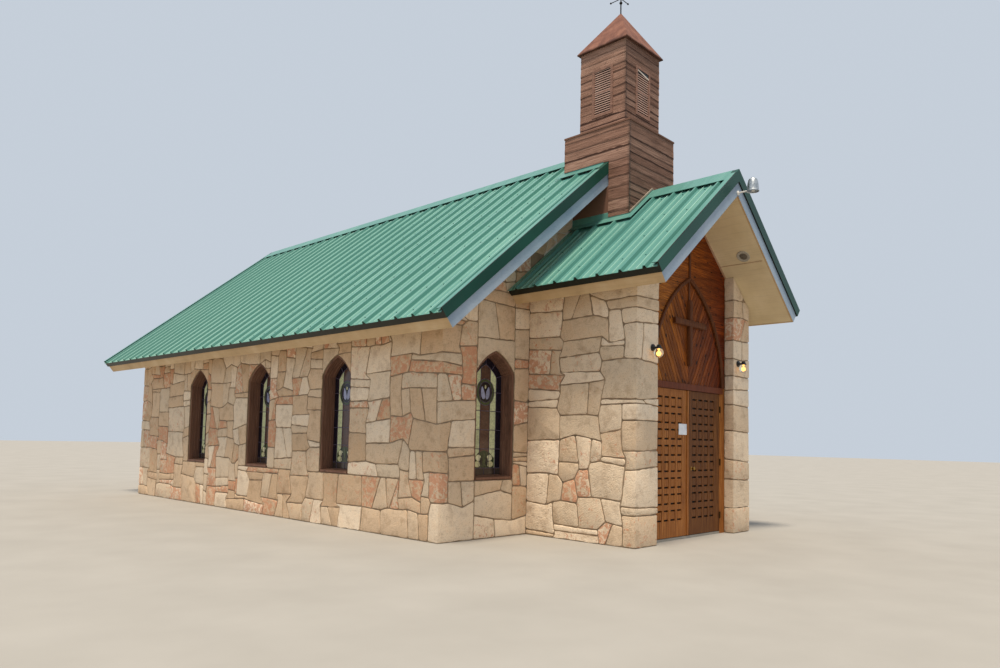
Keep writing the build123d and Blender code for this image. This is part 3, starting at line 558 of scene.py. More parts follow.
def stone_outlines(wall, top, fixed, levels, openings, chance):
    """The outline of each stone of a wall before the openings and the roof are cut out of it."""
    lines = spread(0, wall.length, fixed, CELL_WIDTH, wall.folds, chance)
    beds = spread(0, top, levels, CELL_HEIGHT, (), chance)
    columns, rows = len(lines) - 1, len(beds) - 1

    def blocked(column, row):
        """Whether a cell lies in a window."""
        s, z = (lines[column] + lines[column + 1]) / 2, (beds[row] + beds[row + 1]) / 2
        return any(abs(s - middle) < WINDOW_HALF and WINDOW_SILL < z < WINDOW_SPRING for middle in openings)

    oblongs, owner = laid(columns, rows, blocked, chance)
    held = set(fixed) | {0, wall.length}
    spots = {}

    def around(i, j):
        """The stones that meet at a crossing of the grid; more than two make it a junction of joints."""
        found = set()
        for r in (j - 1, j):
            for c in (i - 1, i):
                found.add(owner[r][c] if 0 <= r < rows and 0 <= c < columns else -2)
        return found

    def room(i, j):
        """How far a junction may move along and up without squeezing a stone or passing its neighbours."""
        share, most_along, most_up, by_fold = 0.36, 0.085, 0.072, 0.045
        stones = [oblongs[n] for n in around(i, j) if n is not None and n >= 0]
        along = [lines[c + w] - lines[c] for c, r, w, h in stones]
        along += [abs(lines[i] - fold) - by_fold for fold in wall.folds]
        up = [beds[r + h] - beds[r] for c, r, w, h in stones]
        for step in (-1, 1):
            k = i + step
            while 0 < k < columns and len(around(k, j)) < 3:
                k += step
            along.append(abs(lines[max(0, min(k, columns))] - lines[i]))
            k = j + step
            while 0 < k < rows and len(around(i, k)) < 3:
                k += step
            up.append(abs(beds[max(0, min(k, rows))] - beds[j]))
        return min([share * a for a in along] + [most_along]), min([share * a for a in up] + [most_up])

    def spot(i, j):
        """Where a crossing of the grid has moved to; the ones on fixed lines stay on them."""
        if (i, j) not in spots:
            reach = room(i, j)
            share = chance.choices((0.35, 1), (2, 3))[0]
            shift = chance.uniform(-1, 1) * reach[0] * share
            lift = chance.uniform(-1, 1) * reach[1] * share
            spots[i, j] = (lines[i] + (0 if lines[i] in held else shift),
                           beds[j] + (0 if beds[j] in (0, top, WINDOW_SILL) else lift))
        return spots[i, j]

    outlines = []
    for column, row, run, rise in oblongs:
        right, up = column + run, row + rise
        walk = [(i, row) for i in range(column, right)] + [(right, j) for j in range(row, up)]
        walk += [(i, up) for i in range(right, column, -1)] + [(column, j) for j in range(up, row, -1)]
        corners = {(column, row), (right, row), (right, up), (column, up)}
        outlines.append([spot(i, j) for i, j in walk if (i, j) in corners or len(around(i, j)) > 2])
    return outlines


def stone_tone(chance, darkest, size):
    """Lightness, rust and pits of one stone, and a number of its own."""
    red = size < RED_STONE_AREA and chance.random() < RED_SHARE
    rust = chance.uniform(0.75, 0.95) if red else chance.choice((0, 0, 0.15, 0.45))
    pits = chance.uniform(0.3, 1) if chance.random() < 0.3 else 0.05
    return chance.uniform(darkest, 1), rust, pits, chance.random()


def shared_place(outline, chance):
    """Now and then two thin stones in a pile, or two side by side, lie where one would."""
    across, up = [p[0] for p in outline], [p[1] for p in outline]
    wide, high = max(across) - min(across), max(up) - min(up)
    middle = (sum(across) / len(across), sum(up) / len(up) + high * chance.uniform(-0.12, 0.12))
    turn, roll = chance.uniform(0.08, 0.45) * chance.choice((-1, 1)), chance.random()
    if roll < 0.15 and 0.13 < high < 0.32:
        turn = math.pi / 2 + chance.uniform(-0.1, 0.1)
    elif roll > 0.24 or min(wide, high) < 0.27:
        return [outline]
    normal = (math.cos(turn), math.sin(turn))
    return [clip(outline, middle, normal), clip(outline, middle, (-normal[0], -normal[1]))]


def stone_edge(part, chance):
    """A stone's outline inside its joints, with cut corners and rough edges; none where it is too thin."""
    step, shake = 0.07, 0.0032
    part = cleaned(part, 0.012)
    for share in (1, 0.6, 0.3):
        if len(part) < 3:
            return None
        edge = inset(part, JOINT / 2 * share)
        if area(edge) < LEAST_STONE_AREA:
            return None
        corner = chance.uniform(0.007, 0.024)
        edge = cleaned(roughened(softened(edge, corner), step, shake, chance), 0.004)
        if len(edge) > 2 and not crosses(edge):
            return edge
    return None


def stonework(name, wall, top, fixed, levels, openings, holes, finish, seed, darkest=0.25):
    """One piece of stonework: every stone of a wall, cut round its windows and under its roof."""
    chance, shape = random.Random(seed), Shape()
    places = stone_outlines(wall, top, fixed, levels, openings, chance)
    for outline in [half for place in places for half in shared_place(place, chance)]:
        tone = stone_tone(chance, darkest, area(outline))
        tilt = (chance.uniform(-0.010, 0.010), chance.uniform(-0.010, 0.010))
        proud = STONE_PROUD + chance.uniform(-0.0025, 0.002)
        parts = [outline]
        for hole in holes:
            parts = [left for part in parts for left in outside_parts(part, hole)]
        for part in parts:
            part = stone_edge(part, chance)
            if not part:
                continue
            rounding = STONE_ROUNDING * chance.uniform(0.7, 1.3)
            rings = ((STONE_BED, 0), (proud - 0.006, 0), (proud - 0.002, rounding / 3), (proud, rounding))
            if crosses(inset(part, rounding)):
                rings = ((STONE_BED, 0), (proud, 0))
            slab(shape, wall, part, rings, tone, tilt=tilt)
    piece(name, shape, finish, smooth=40)


def roof_hole(s_a, z_a, s_b, z_b):
    """The space over a soffit line, as a hole in the stonework; it laps past its ends a little."""
    high, lap = 9.0, 0.001
    slope = (z_b - z_a) / (s_b - s_a)
    foot = [(s_a - lap, z_a - lap * slope), (s_b + lap, z_b + lap * slope)]
    return foot + [(s_b + lap, high), (s_a - lap, high)]


def soffit(ridge, x):
    """Height of the underside of the rafters over the stones at a distance x from the middle."""
    return ridge - (x + STONE_PROUD) * TAN - RAFTER / COS + JOINT / 2 - 0.003


def all_stonework(finish):
    """The nave's stones in one run from door wall to door wall, and the porch's two sides."""
    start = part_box("steeple_base")[1].x
    nave = Unrolled([(start, FRONT), (NAVE_HALF, FRONT), (NAVE_HALF, BACK), (-NAVE_HALF, BACK),
                     (-NAVE_HALF, FRONT), (-start, FRONT)])
    corner_a, corner_b, corner_c, corner_d = nave.folds
    middles = [FRONT_WINDOW - start] + [corner_a + y - FRONT for y in SIDE_WINDOWS]
    middles += [nave.length - m for m in middles]
    jambs = [m + side * (WINDOW_HALF - 0.012) for m in middles for side in (-1, 1)]
    porch_corners = [PORCH_HALF - start, nave.length - PORCH_HALF + start]
    eave = soffit(NAVE_RIDGE, NAVE_HALF)
    back_middle = (corner_b + corner_c) / 2
    holes = [[(m + x, z) for x, z in pointed(-0.005, 6)] for m in middles]
    holes += [
        roof_hole(0, soffit(NAVE_RIDGE, start), corner_a, eave),
        roof_hole(corner_a, eave, corner_b, eave),
        roof_hole(corner_b, eave, back_middle, soffit(NAVE_RIDGE, 0)),
        roof_hole(back_middle, soffit(NAVE_RIDGE, 0), corner_c, eave),
        roof_hole(corner_c, eave, corner_d, eave),
        roof_hole(corner_d, eave, nave.length, soffit(NAVE_RIDGE, start)),
    ]
    past, tuck, far = 0.1, 0.02, nave.length
    roof_top = PORCH_RIDGE + (BATTEN + RIB_HEIGHT) / COS - tuck
    reach = PORCH_HALF - start - 0.001
    low, edge = roof_top - start * TAN + past * TAN, roof_top - PORCH_HALF * TAN
    holes.append([(-past, -past), (reach, -past), (reach, edge), (-past, low)])
    holes.append([(far - reach, -past), (far + past, -past), (far + past, low), (far - reach, edge)])
    stonework("nave_stonework", nave, soffit(NAVE_RIDGE, 0) + 0.1, jambs + porch_corners,
              [WINDOW_SILL, WINDOW_SPRING], middles, holes, finish, 11)
    right = [(DOORWAY_HALF, DOOR_FACE), (DOORWAY_HALF, PORCH_FRONT), (PORCH_HALF, PORCH_FRONT),
             (PORCH_HALF, FRONT)]
    left = [(-x, y) for x, y in reversed(right)]
    over_door, over_side = soffit(PORCH_RIDGE, DOORWAY_HALF - STONE_PROUD), soffit(PORCH_RIDGE, PORCH_HALF)
    for name, path, seed in (("porch_right_stonework", right, 23), ("porch_left_stonework", left, 37)):
        wall = Unrolled(path)
        first, second = wall.folds
        if name == "porch_right_stonework":
            tops = [(0, over_door), (first, over_door), (second, over_side), (wall.length, over_side)]
        else:
            tops = [(0, over_side), (first, over_side), (second, over_door), (wall.length, over_door)]
        holes = [roof_hole(*a, *b) for a, b in zip(tops, tops[1:])]
        # The porch's stones are lighter than the nave's: painted light for the glow thrown back onto the
        # porch walls
        stonework(name, wall, over_door + 0.1, [], [], [], holes, finish, seed, 0.6)


def turned(shape, profile, place, axis=(0, 0, 1), sides=24):
    """Turns a profile of (radius, distance along the axis) about an axis through a place."""
    axis = Vector(axis).normalized()
    across = axis.orthogonal().normalized()
    other = axis.cross(across)
    rings = []
    for radius, along in profile:
        spots = []
        for i in range(sides):
            angle = 2 * math.pi * i / sides
            out = across * math.cos(angle) + other * math.sin(angle)
            spots.append(Vector(place) + axis * along + out * radius)
        rings.append(shape.ring(spots))
    shape.solid(rings)


def ball_profile(radius, middle, steps, start=0.03, end=0.97):
    """A round ball's profile, from one share of its height to another."""
    turns = [math.pi * (start + (end - start) * i / steps) for i in range(steps + 1)]
    return [(radius * math.sin(t), middle - radius * math.cos(t)) for t in turns]


def bar(shape, a, b, width, height, up=(0, 0, 1), tone=PLAIN_TONE, edge=0.0):
    """A straight bar between two points, with its edges planed off by a distance."""
    a, b = Vector(a), Vector(b)
    along = (b - a).normalized()
    side = along.cross(Vector(up)).normalized()
    over = side.cross(along)
    w, h = width / 2, height / 2
    section = [(-w, -h), (w, -h), (w, h), (-w, h)]
    if edge:
        section = [(-w + edge, -h), (w - edge, -h), (w, -h + edge), (w, h - edge),
                   (w - edge, h), (-w + edge, h), (-w, h - edge), (-w, -h + edge)]
    rings = []
    for end in (a, b):
        grains = [((end - a).length, x + y, tone[3]) for x, y in section]
        rings.append(shape.ring([end + side * x + over * y for x, y in section], tone, grains))
    shape.solid(rings)


def lofted(shape, wall, sections, loop=True):
    """A moulding: outlines at their depths, joined one after another and back to the first."""
    rings = []
    for outline, depth in sections:
        grains = [(s + z, depth, 0) for s, z in outline]
        rings.append(shape.ring([wall.place(s, z, depth) for s, z in outline], grains=grains))
    for first, second in zip(rings, rings[1:] + rings[:1]):
        shape.bridge(first, second, closed=loop)
    if not loop:
        shape.cap([ring[0] for ring in rings][::-1])
        shape.cap([ring[-1] for ring in rings])


def painted_steel(name, colours, rough, shade_colour, turned_to):
    """Coil-coated steel sheet: half-gloss paint, chalked down the slope, with painted shade on faces turned
    one way.
    """
    finish, tree = new_material(name)
    coordinates = add(tree, "TexCoord")
    place = coordinates.outputs["Object"]
    clouds = add(tree, "TexNoise", {"Vector": place, "Scale": per(900), "Detail": 4.0})
    drawn = add(tree, "VectorMath", {0: place, 1: (0.4, per(120), 0.4)}, operation="MULTIPLY")
    streaks = add(tree, "TexNoise", {"Vector": drawn, "Scale": 1.0, "Detail": 3.0, "Roughness": 0.5})
    share = add(tree, "Mix", {"Factor": 0.5, "A": clouds, "B": streaks}, data_type="FLOAT")
    colour = add(tree, "ValToRGB", {"Fac": share}, stops=list(zip((0.35, 0.5, 0.65), colours)))
    # Painted shade: faces turned the given way take the shade colour instead of the paint's own
    normal = coordinates.outputs["Normal"]
    facing = add(tree, "VectorMath", {0: normal, 1: turned_to}, operation="DOT_PRODUCT")
    away = add(tree, "MapRange", {"Value": facing.outputs["Value"], "From Min": 0.12, "From Max": 0.4})
    dulled = add(tree, "Mix", {"Factor": away, "A": colour, "B": linear(shade_colour)}, **MIXED)
    gloss = add(tree, "MapRange", {"Value": clouds, "To Min": rough - 0.05, "To Max": rough + 0.08})
    dents = add(tree, "TexNoise", {"Vector": place, "Scale": per(260), "Detail": 2.0})
    bump = add(tree, "Bump", {"Height": dents, "Strength": 0.1, "Distance": 0.01})
    shader = add(tree, "BsdfPrincipled", {"Base Color": dulled, "Roughness": gloss, "Specular IOR Level": 0.3,
                                          "Normal": bump})
    add(tree, "OutputMaterial", {"Surface": shader})
    return finish


def painted_board(name, colours, sky_reflection_colours=None):
    """Painted softwood and plywood: flat oil paint, the grain just raised; cooler grey on the gables, a
    painted sky reflection.
    """
    finish, tree = new_material(name)
    coordinates = add(tree, "TexCoord")
    place = coordinates.outputs["Object"]
    clouds = add(tree, "TexNoise", {"Vector": place, "Scale": per(450), "Detail": 6.0, "Roughness": 0.6})
    colour = add(tree, "ValToRGB", {"Fac": clouds}, stops=list(zip((0.32, 0.5, 0.68), colours)))
    # Painted reflection of the sky: faces turned along Y, the gable boards, take the cooler grey
    if sky_reflection_colours:
        cool = add(tree, "ValToRGB", {"Fac": clouds}, stops=list(zip((0.3, 0.7), sky_reflection_colours)))
        facing = add(tree, "SeparateXYZ", {"Vector": coordinates.outputs["Normal"]})
        turned_to = add(tree, "Math", {0: facing.outputs["Y"]}, operation="ABSOLUTE")
        at_gable = add(tree, "Math", {0: turned_to, 1: 0.7}, operation="GREATER_THAN")
        colour = add(tree, "Mix", {"Factor": at_gable, "A": colour, "B": cool}, **MIXED)
    drawn = add(tree, "VectorMath", {0: place, 1: (per(40), per(500), per(15))}, operation="MULTIPLY")
    grain = add(tree, "TexNoise", {"Vector": drawn, "Scale": 1.0, "Detail": 4.0, "Roughness": 0.6})
    lines = add(tree, "ValToRGB", {"Fac": grain}, stops=[(0.36, "#8E8271"), (0.5, "#FFFFFF")])
    marked = add(tree, "Mix", {"Factor": 0.1, "A": colour, "B": lines}, **STAINED)
    bump = add(tree, "Bump", {"Height": grain, "Strength": 0.15, "Distance": 0.002})
    shader = add(tree, "BsdfPrincipled", {"Base Color": marked, "Roughness": 0.6, "Normal": bump})
    add(tree, "OutputMaterial", {"Surface": shader})
    return finish


def streaks_and_knots(tree, place, streak, knot, reach=0.13):
    """Streaks along a board and its knots, from a place in its grain: along, across, and its own number."""
    # Grain lines are two or three millimetres apart; they are drawn wider so that they show
    drawn = add(tree, "VectorMath", {0: place, 1: (per(streak * 45), per(streak), 7.0)}, operation="MULTIPLY")
    streaks = add(tree, "TexNoise", {"Vector": drawn, "Scale": 1.0, "Detail": 6.0, "Roughness": 0.62,
                                     "Distortion": 0.35})
    spacing = (per(knot * 9), per(knot * 4.5), 5.0)
    spaced = add(tree, "VectorMath", {0: place, 1: spacing}, operation="MULTIPLY")
    cells = add(tree, "TexVoronoi", {"Vector": spaced, "Scale": 1.0, "Randomness": 1.0})
    knots = add(tree, "ValToRGB", {"Fac": cells}, stops=[(reach / 2, "#000000"), (reach, "#FFFFFF")])
    return streaks, knots


def siding():
    """Rough-sawn cedar under old red-brown stain: matt and furry, painted lighter on faces turned to -X, with
    painted shadow under the laps.
    """
    finish, tree = new_material("rough_sawn_cedar")
    place = add(tree, "Attribute", attribute_name="grain").outputs["Vector"]
    tone = add(tree, "SeparateColor", {"Color": add(tree, "Attribute", attribute_name="tone")})
    streaks, knots = streaks_and_knots(tree, place, 7, 26)
    base = add(tree, "ValToRGB", {"Fac": streaks}, stops=[
        (0.28, "#463630"), (0.42, "#866A5C"), (0.58, "#AE9080"), (0.8, "#CEAC9C")])
    board = add(tree, "ValToRGB", {"Fac": tone.outputs["Red"]}, stops=[(0.0, "#C4B4AC"), (1.0, "#FFFFFF")])
    toned = add(tree, "Mix", {"Factor": 0.8, "A": base, "B": board}, **STAINED)
    spotted = add(tree, "Mix", {"Factor": 0.35, "A": toned, "B": knots}, **STAINED)
    # Painted shadow under the laps: each board darkens towards its foot, by as much as its tone's blue
    patches = add(tree, "TexNoise", {"Vector": place, "Scale": per(120), "Detail": 4.0})
    ragged = add(tree, "Math", {0: patches, 1: 0.3, 2: tone.outputs["Green"]}, operation="MULTIPLY_ADD")
    lap = add(tree, "ValToRGB", {"Fac": ragged}, stops=[(0.98, "#FFFFFF"), (1.04, "#5E443C")])
    lap_shadow = add(tree, "Mix", {"Factor": tone.outputs["Blue"], "A": spotted, "B": lap}, **STAINED)
    # Painted light: faces turned to -X take the lighter colour and the others painted shade
    facing = add(tree, "SeparateXYZ", {"Vector": add(tree, "TexCoord").outputs["Normal"]})
    shaded = add(tree, "MapRange", {"Value": facing.outputs["X"], "From Min": -0.8, "From Max": -0.2})
    weathered = add(tree, "ValToRGB", {"Fac": shaded}, stops=[(0.0, "#FFF4EE"), (1.0, "#D8D0CC")])
    faded = add(tree, "Mix", {"Factor": 1.0, "A": lap_shadow, "B": weathered}, **STAINED)
    bump = add(tree, "Bump", {"Height": streaks, "Strength": 0.8, "Distance": 0.006})
    shader = add(tree, "BsdfPrincipled", {"Base Color": faded, "Roughness": 0.86, "Specular IOR Level": 0.25,
                                          "Normal": bump})
    add(tree, "OutputMaterial", {"Surface": shader})
    return finish


def louvre_wood():
    """The vents' casings and slats: the boards' own stain on planed softwood, with painted shade on the
    slats' tilted faces.
    """
    finish, tree = new_material("stained_louvre_wood")
    coordinates = add(tree, "TexCoord")
    drawn = add(tree, "VectorMath", {0: coordinates.outputs["Object"], 1: (per(60), per(60), per(18))},
                operation="MULTIPLY")
    grain = add(tree, "TexNoise", {"Vector": drawn, "Scale": 1.0, "Detail": 5.0, "Roughness": 0.6})
    casing = add(tree, "ValToRGB", {"Fac": grain}, stops=[
        (0.3, "#624439"), (0.5, "#84604F"), (0.7, "#9A7260")])
    # Painted shade: faces tilted up or down, the slats', take a dark brown
    facing = add(tree, "SeparateXYZ", {"Vector": coordinates.outputs["Normal"]})
    lean = add(tree, "Math", {0: facing.outputs["Z"]}, operation="ABSOLUTE")
    tilted = add(tree, "MapRange", {"Value": lean, "From Min": 0.2, "From Max": 0.4})
    colour = add(tree, "Mix", {"Factor": tilted, "A": casing, "B": linear("#3A2820")}, **MIXED)
    bump = add(tree, "Bump", {"Height": grain, "Strength": 0.4, "Distance": 0.002})
    shader = add(tree, "BsdfPrincipled", {"Base Color": colour, "Roughness": 0.75, "Normal": bump})
    add(tree, "OutputMaterial", {"Surface": shader})
    return finish


def spire_felt():
    """Mineral roofing felt, once red: sandy and matt, faded to salmon and stained at its lower edge."""
    finish, tree = new_material("faded_roofing_felt")
    place = add(tree, "TexCoord").outputs["Object"]
    clouds = add(tree, "TexNoise", {"Vector": place, "Scale": per(180), "Detail": 6.0, "Roughness": 0.65})
    colour = add(tree, "ValToRGB", {"Fac": clouds}, stops=[
        (0.3, "#5E382C"), (0.5, "#7C5040"), (0.7, "#926450")])
    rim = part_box("spire_roof")[0].z
    height = add(tree, "SeparateXYZ", {"Vector": place}).outputs["Z"]
    over_rim = add(tree, "MapRange", {"Value": height, "From Min": rim, "From Max": rim + 0.16})
    ragged = add(tree, "Math", {0: over_rim, 1: clouds}, operation="ADD")
    stain = add(tree, "ValToRGB", {"Fac": ragged}, stops=[(0.55, "#8C7468"), (0.95, "#FFFFFF")])
    stained = add(tree, "Mix", {"Factor": 0.8, "A": colour, "B": stain}, **STAINED)
    # The felt's grit is about a millimetre; at 5 mm it shows in the picture
    grit = add(tree, "TexNoise", {"Vector": place, "Scale": per(5), "Detail": 2.0})
    bump = add(tree, "Bump", {"Height": grit, "Strength": 0.5, "Distance": 0.002})
    shader = add(tree, "BsdfPrincipled", {"Base Color": stained, "Roughness": 0.9, "Normal": bump})
    add(tree, "OutputMaterial", {"Surface": shader})
    return finish


def stained_pine():
    """Knotty pine under dark varnish: golden to red-brown across the gable, satin, with black knots."""
    finish, tree = new_material("varnished_knotty_pine")
    place = add(tree, "Attribute", attribute_name="grain").outputs["Vector"]
    tone = add(tree, "SeparateColor", {"Color": add(tree, "Attribute", attribute_name="tone")})
    streaks, knots = streaks_and_knots(tree, place, 6, 20, 0.22)
    spot = add(tree, "SeparateXYZ", {"Vector": add(tree, "TexCoord").outputs["Object"]})
    across = add(tree, "MapRange", {"Value": spot.outputs["X"], "From Min": -0.9, "From Max": 0.9})
    warm = add(tree, "ValToRGB", {"Fac": across}, stops=[
        (0.0, "#D88C30"), (0.5, "#B86822"), (1.0, "#984412")])
    line = add(tree, "ValToRGB", {"Fac": streaks}, stops=[
        (0.34, "#2A1E16"), (0.5, "#AC9A86"), (0.64, "#FFFFFF")])
    grained = add(tree, "Mix", {"Factor": 0.9, "A": warm, "B": line}, **STAINED)
    board = add(tree, "ValToRGB", {"Fac": tone.outputs["Red"]}, stops=[(0.0, "#B0A298"), (1.0, "#FFFFFF")])
    toned = add(tree, "Mix", {"Factor": 0.8, "A": grained, "B": board}, **STAINED)
    spotted = add(tree, "Mix", {"Factor": 0.92, "A": toned, "B": knots}, **STAINED)
    bump = add(tree, "Bump", {"Height": streaks, "Strength": 0.3, "Distance": 0.002})
    shader = add(tree, "BsdfPrincipled", {"Base Color": spotted, "Roughness": 0.55,
                                          "Specular IOR Level": 0.15, "Normal": bump})
    add(tree, "OutputMaterial", {"Surface": shader})
    return finish


def stained_wood(name, colours, rough, hollows=None):
    """Solid timber under stain, grain upright: satin, streaked and knotty, with painted shade in the doors'
    recesses.
    """
    finish, tree = new_material(name)
    coordinates = add(tree, "TexCoord")
    spot = add(tree, "SeparateXYZ", {"Vector": coordinates.outputs["Object"]})
    upright = {"X": spot.outputs["Z"], "Y": spot.outputs["X"], "Z": spot.outputs["Y"]}
    streaks, knots = streaks_and_knots(tree, add(tree, "CombineXYZ", upright), 9, 34)
    colour = add(tree, "ValToRGB", {"Fac": streaks}, stops=list(zip((0.28, 0.5, 0.72), colours)))
    spotted = add(tree, "Mix", {"Factor": 0.3, "A": colour, "B": knots}, **STAINED)
    # Painted shade: front faces sunk behind the door's face take a near-black brown
    if hollows:
        facing = add(tree, "SeparateXYZ", {"Vector": coordinates.outputs["Normal"]})
        shown = add(tree, "MapRange", {"Value": facing.outputs["Y"], "From Min": -0.2, "From Max": -1.0})
        sunk = add(tree, "Math", {0: spot.outputs["Y"], 1: hollows}, operation="GREATER_THAN")
        recess_shade = add(tree, "Math", {0: shown, 1: sunk}, operation="MULTIPLY")
        spotted = add(tree, "Mix", {"Factor": recess_shade, "A": spotted, "B": linear("#1E120A")}, **MIXED)
    bump = add(tree, "Bump", {"Height": streaks, "Strength": 0.3, "Distance": 0.002})
    shader = add(tree, "BsdfPrincipled", {"Base Color": spotted, "Roughness": rough,
                                          "Specular IOR Level": 0.2, "Normal": bump})
    add(tree, "OutputMaterial", {"Surface": shader})
    return finish


def stained_glass():
    """Coloured sheet glass seen from outside against a dark room: smooth, glossy, slightly uneven."""
    finish, tree = new_material("coloured_sheet_glass")
    tone = add(tree, "Attribute", attribute_name="tone")
    place = add(tree, "TexCoord").outputs["Object"]
    seeds = add(tree, "TexNoise", {"Vector": place, "Scale": per(25), "Detail": 3.0, "Distortion": 0.5})
    shade = add(tree, "ValToRGB", {"Fac": seeds}, stops=[(0.3, "#A0A0A0"), (0.7, "#FFFFFF")])
    colour = add(tree, "Mix", {"Factor": 0.6, "A": tone, "B": shade}, **STAINED)
    bump = add(tree, "Bump", {"Height": seeds, "Strength": 0.2, "Distance": 0.003})
    shader = add(tree, "BsdfPrincipled", {"Base Color": colour, "Roughness": 0.14, "IOR": 1.52,
                                          "Normal": bump})
    add(tree, "OutputMaterial", {"Surface": shader})
    return finish


def plain_metal(name, colours, rough, metallic):
    """Small metal fittings: an even finish, dulled and speckled a little by the weather."""
    finish, tree = new_material(name)
    place = add(tree, "TexCoord").outputs["Object"]
    clouds = add(tree, "TexNoise", {"Vector": place, "Scale": per(25), "Detail": 5.0, "Roughness": 0.6})
    colour = add(tree, "ValToRGB", {"Fac": clouds}, stops=list(zip((0.35, 0.65), colours)))
    gloss = add(tree, "MapRange", {"Value": clouds, "To Min": rough - 0.1, "To Max": rough + 0.15})
    shader = add(tree, "BsdfPrincipled", {"Base Color": colour, "Roughness": gloss, "Metallic": metallic})
    add(tree, "OutputMaterial", {"Surface": shader})
    return finish


def clear_glass():
    """The lamps' globes: thin blown glass, clear and shiny."""
    finish, tree = new_material("clear_glass")
    shader = add(tree, "BsdfPrincipled", {"Base Color": linear("#FFF6E4"), "Roughness": 0.05, "IOR": 1.45,
                                          "Transmission Weight": 1.0})
    add(tree, "OutputMaterial", {"Surface": shader})
    return finish


def lit_bulb():
    """The bulb in a globe: frosted glass, lit to an even warm white."""
    finish, tree = new_material("lit_bulb")
    shader = add(tree, "BsdfPrincipled", {"Base Color": linear("#FFE9B8"), "Roughness": 0.4,
                                          "Emission Color": linear("#FFB85C"), "Emission Strength": 2.4})
    add(tree, "OutputMaterial", {"Surface": shader})
    return finish


def paper():
    """Uncoated writing paper: flat, off-white and faintly cloudy."""
    finish, tree = new_material("paper")
    place = add(tree, "TexCoord").outputs["Object"]
    clouds = add(tree, "TexNoise", {"Vector": place, "Scale": per(60), "Detail": 3.0})
    colour = add(tree, "ValToRGB", {"Fac": clouds}, stops=[(0.3, "#D8DCE4"), (0.7, "#EDEFF2")])
    shader = add(tree, "BsdfPrincipled", {"Base Color": colour, "Roughness": 0.7})
    add(tree, "OutputMaterial", {"Surface": shader})
    return finish


def screed():
    """A trowelled cement floor: smooth, grey and faintly blotched."""
    finish, tree = new_material("cement_screed")
    place = add(tree, "TexCoord").outputs["Object"]
    clouds = add(tree, "TexNoise", {"Vector": place, "Scale": per(350), "Detail": 6.0})
    colour = add(tree, "ValToRGB", {"Fac": clouds}, stops=[(0.3, "#857F76"), (0.7, "#A09A90")])
    shader = add(tree, "BsdfPrincipled", {"Base Color": colour, "Roughness": 0.7})
    add(tree, "OutputMaterial", {"Surface": shader})
    return finish


def on_slope(ridge, side, u, w, y):
    """A point on a roof slope: down it from the ridge, square to it, and along the building."""
    return side * (u * COS + w * SIN), y, ridge - u * SIN + w * COS


def roof_details(name, ridge, half_width, y0, y1, finish, screws):
    """The two small ribs between each pair of big ones, and the screws beside them."""
    ribs, heads = Shape(), Shape()
    count = round((y1 - y0) / RIB_PITCH)
    pitch = (y1 - y0) / count
    top = BATTEN + SHEET
    overhang, ridge_gap, clear = 0.045, 0.045, 0.05
    rib_foot, rib_crest, rib_rise = 0.013, 0.005, 0.011
    screw = [(0.012, 0), (0.012, 0.003), (0.007, 0.004), (0.007, 0.010), (0.003, 0.011)]
    first_row, row_step, beside = 0.28, 0.61, 0.05
    low = half_width / COS + overhang
    shaft_low, shaft_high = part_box("steeple_flashing")
    rows = [first_row + i * row_step for i in range(int((low - 0.3) / row_step) + 1)]
    for side in (-1, 1):
        for i in range(-1, count):
            big = y0 + (i + 0.5) * pitch
            for share in (1 / 3, 2 / 3):
                y = big + pitch * share
                if not y0 + clear < y < y1 - 0.02:
                    continue
                start = shaft_high.x / COS if shaft_low.y < y < shaft_high.y else ridge_gap
                section = [(y - rib_foot, top), (y - rib_crest, top + rib_rise),
                           (y + rib_crest, top + rib_rise), (y + rib_foot, top)]
                if side > 0:
                    section.reverse()
                ribs.solid([
                    ribs.ring([on_slope(ridge, side, u, w, at) for at, w in section]) for u in (start, low)
                ])
            for u in rows:
                for y in (big + beside, big + pitch * 0.5):
                    on_shaft = shaft_low.y < y < shaft_high.y and u * COS < shaft_high.x + clear
                    if y0 + clear < y < y1 - 0.03 and not on_shaft:
                        spot = on_slope(ridge, side, u, top - 0.001, y)
                        turned(heads, screw, spot, (side * SIN, 0, COS), sides=8)
    piece(name + "_small_ribs", ribs, finish, smooth=20)
    piece(name + "_screws", heads, screws)


def rake_laps(name, ridge, half_width, ends, finish, shadow_strip_finish):
    """Along each gable the sheet's own edge, lapped over the trim, and beside it a black strip of painted
    shade.
    """
    laps, strips = Shape(), Shape()
    level = BATTEN + RIB_HEIGHT + 0.004
    low = half_width / COS + 0.020
    for y, inward, start in ends:
        for side in (-1, 1):
            # The black strip is painted shade standing in for the gap under the sheet's edge
            for shape, near, far, thick in ((strips, 0.001, 0.015, 0.003), (laps, 0.015, 0.092, 0.004)):
                a, b = sorted((y + inward * near, y + inward * far))
                section = [(a, level - 0.001), (b, level - 0.001), (b, level + thick), (a, level + thick)]
                if side < 0:
                    section.reverse()
                shape.solid([
                    shape.ring([on_slope(ridge, side, u, w, at) for at, w in section]) for u in (low, start)
                ])
    piece(name + "_sheet_edges", laps, finish)
    piece(name + "_shadow_gap_strips", strips, shadow_strip_finish)


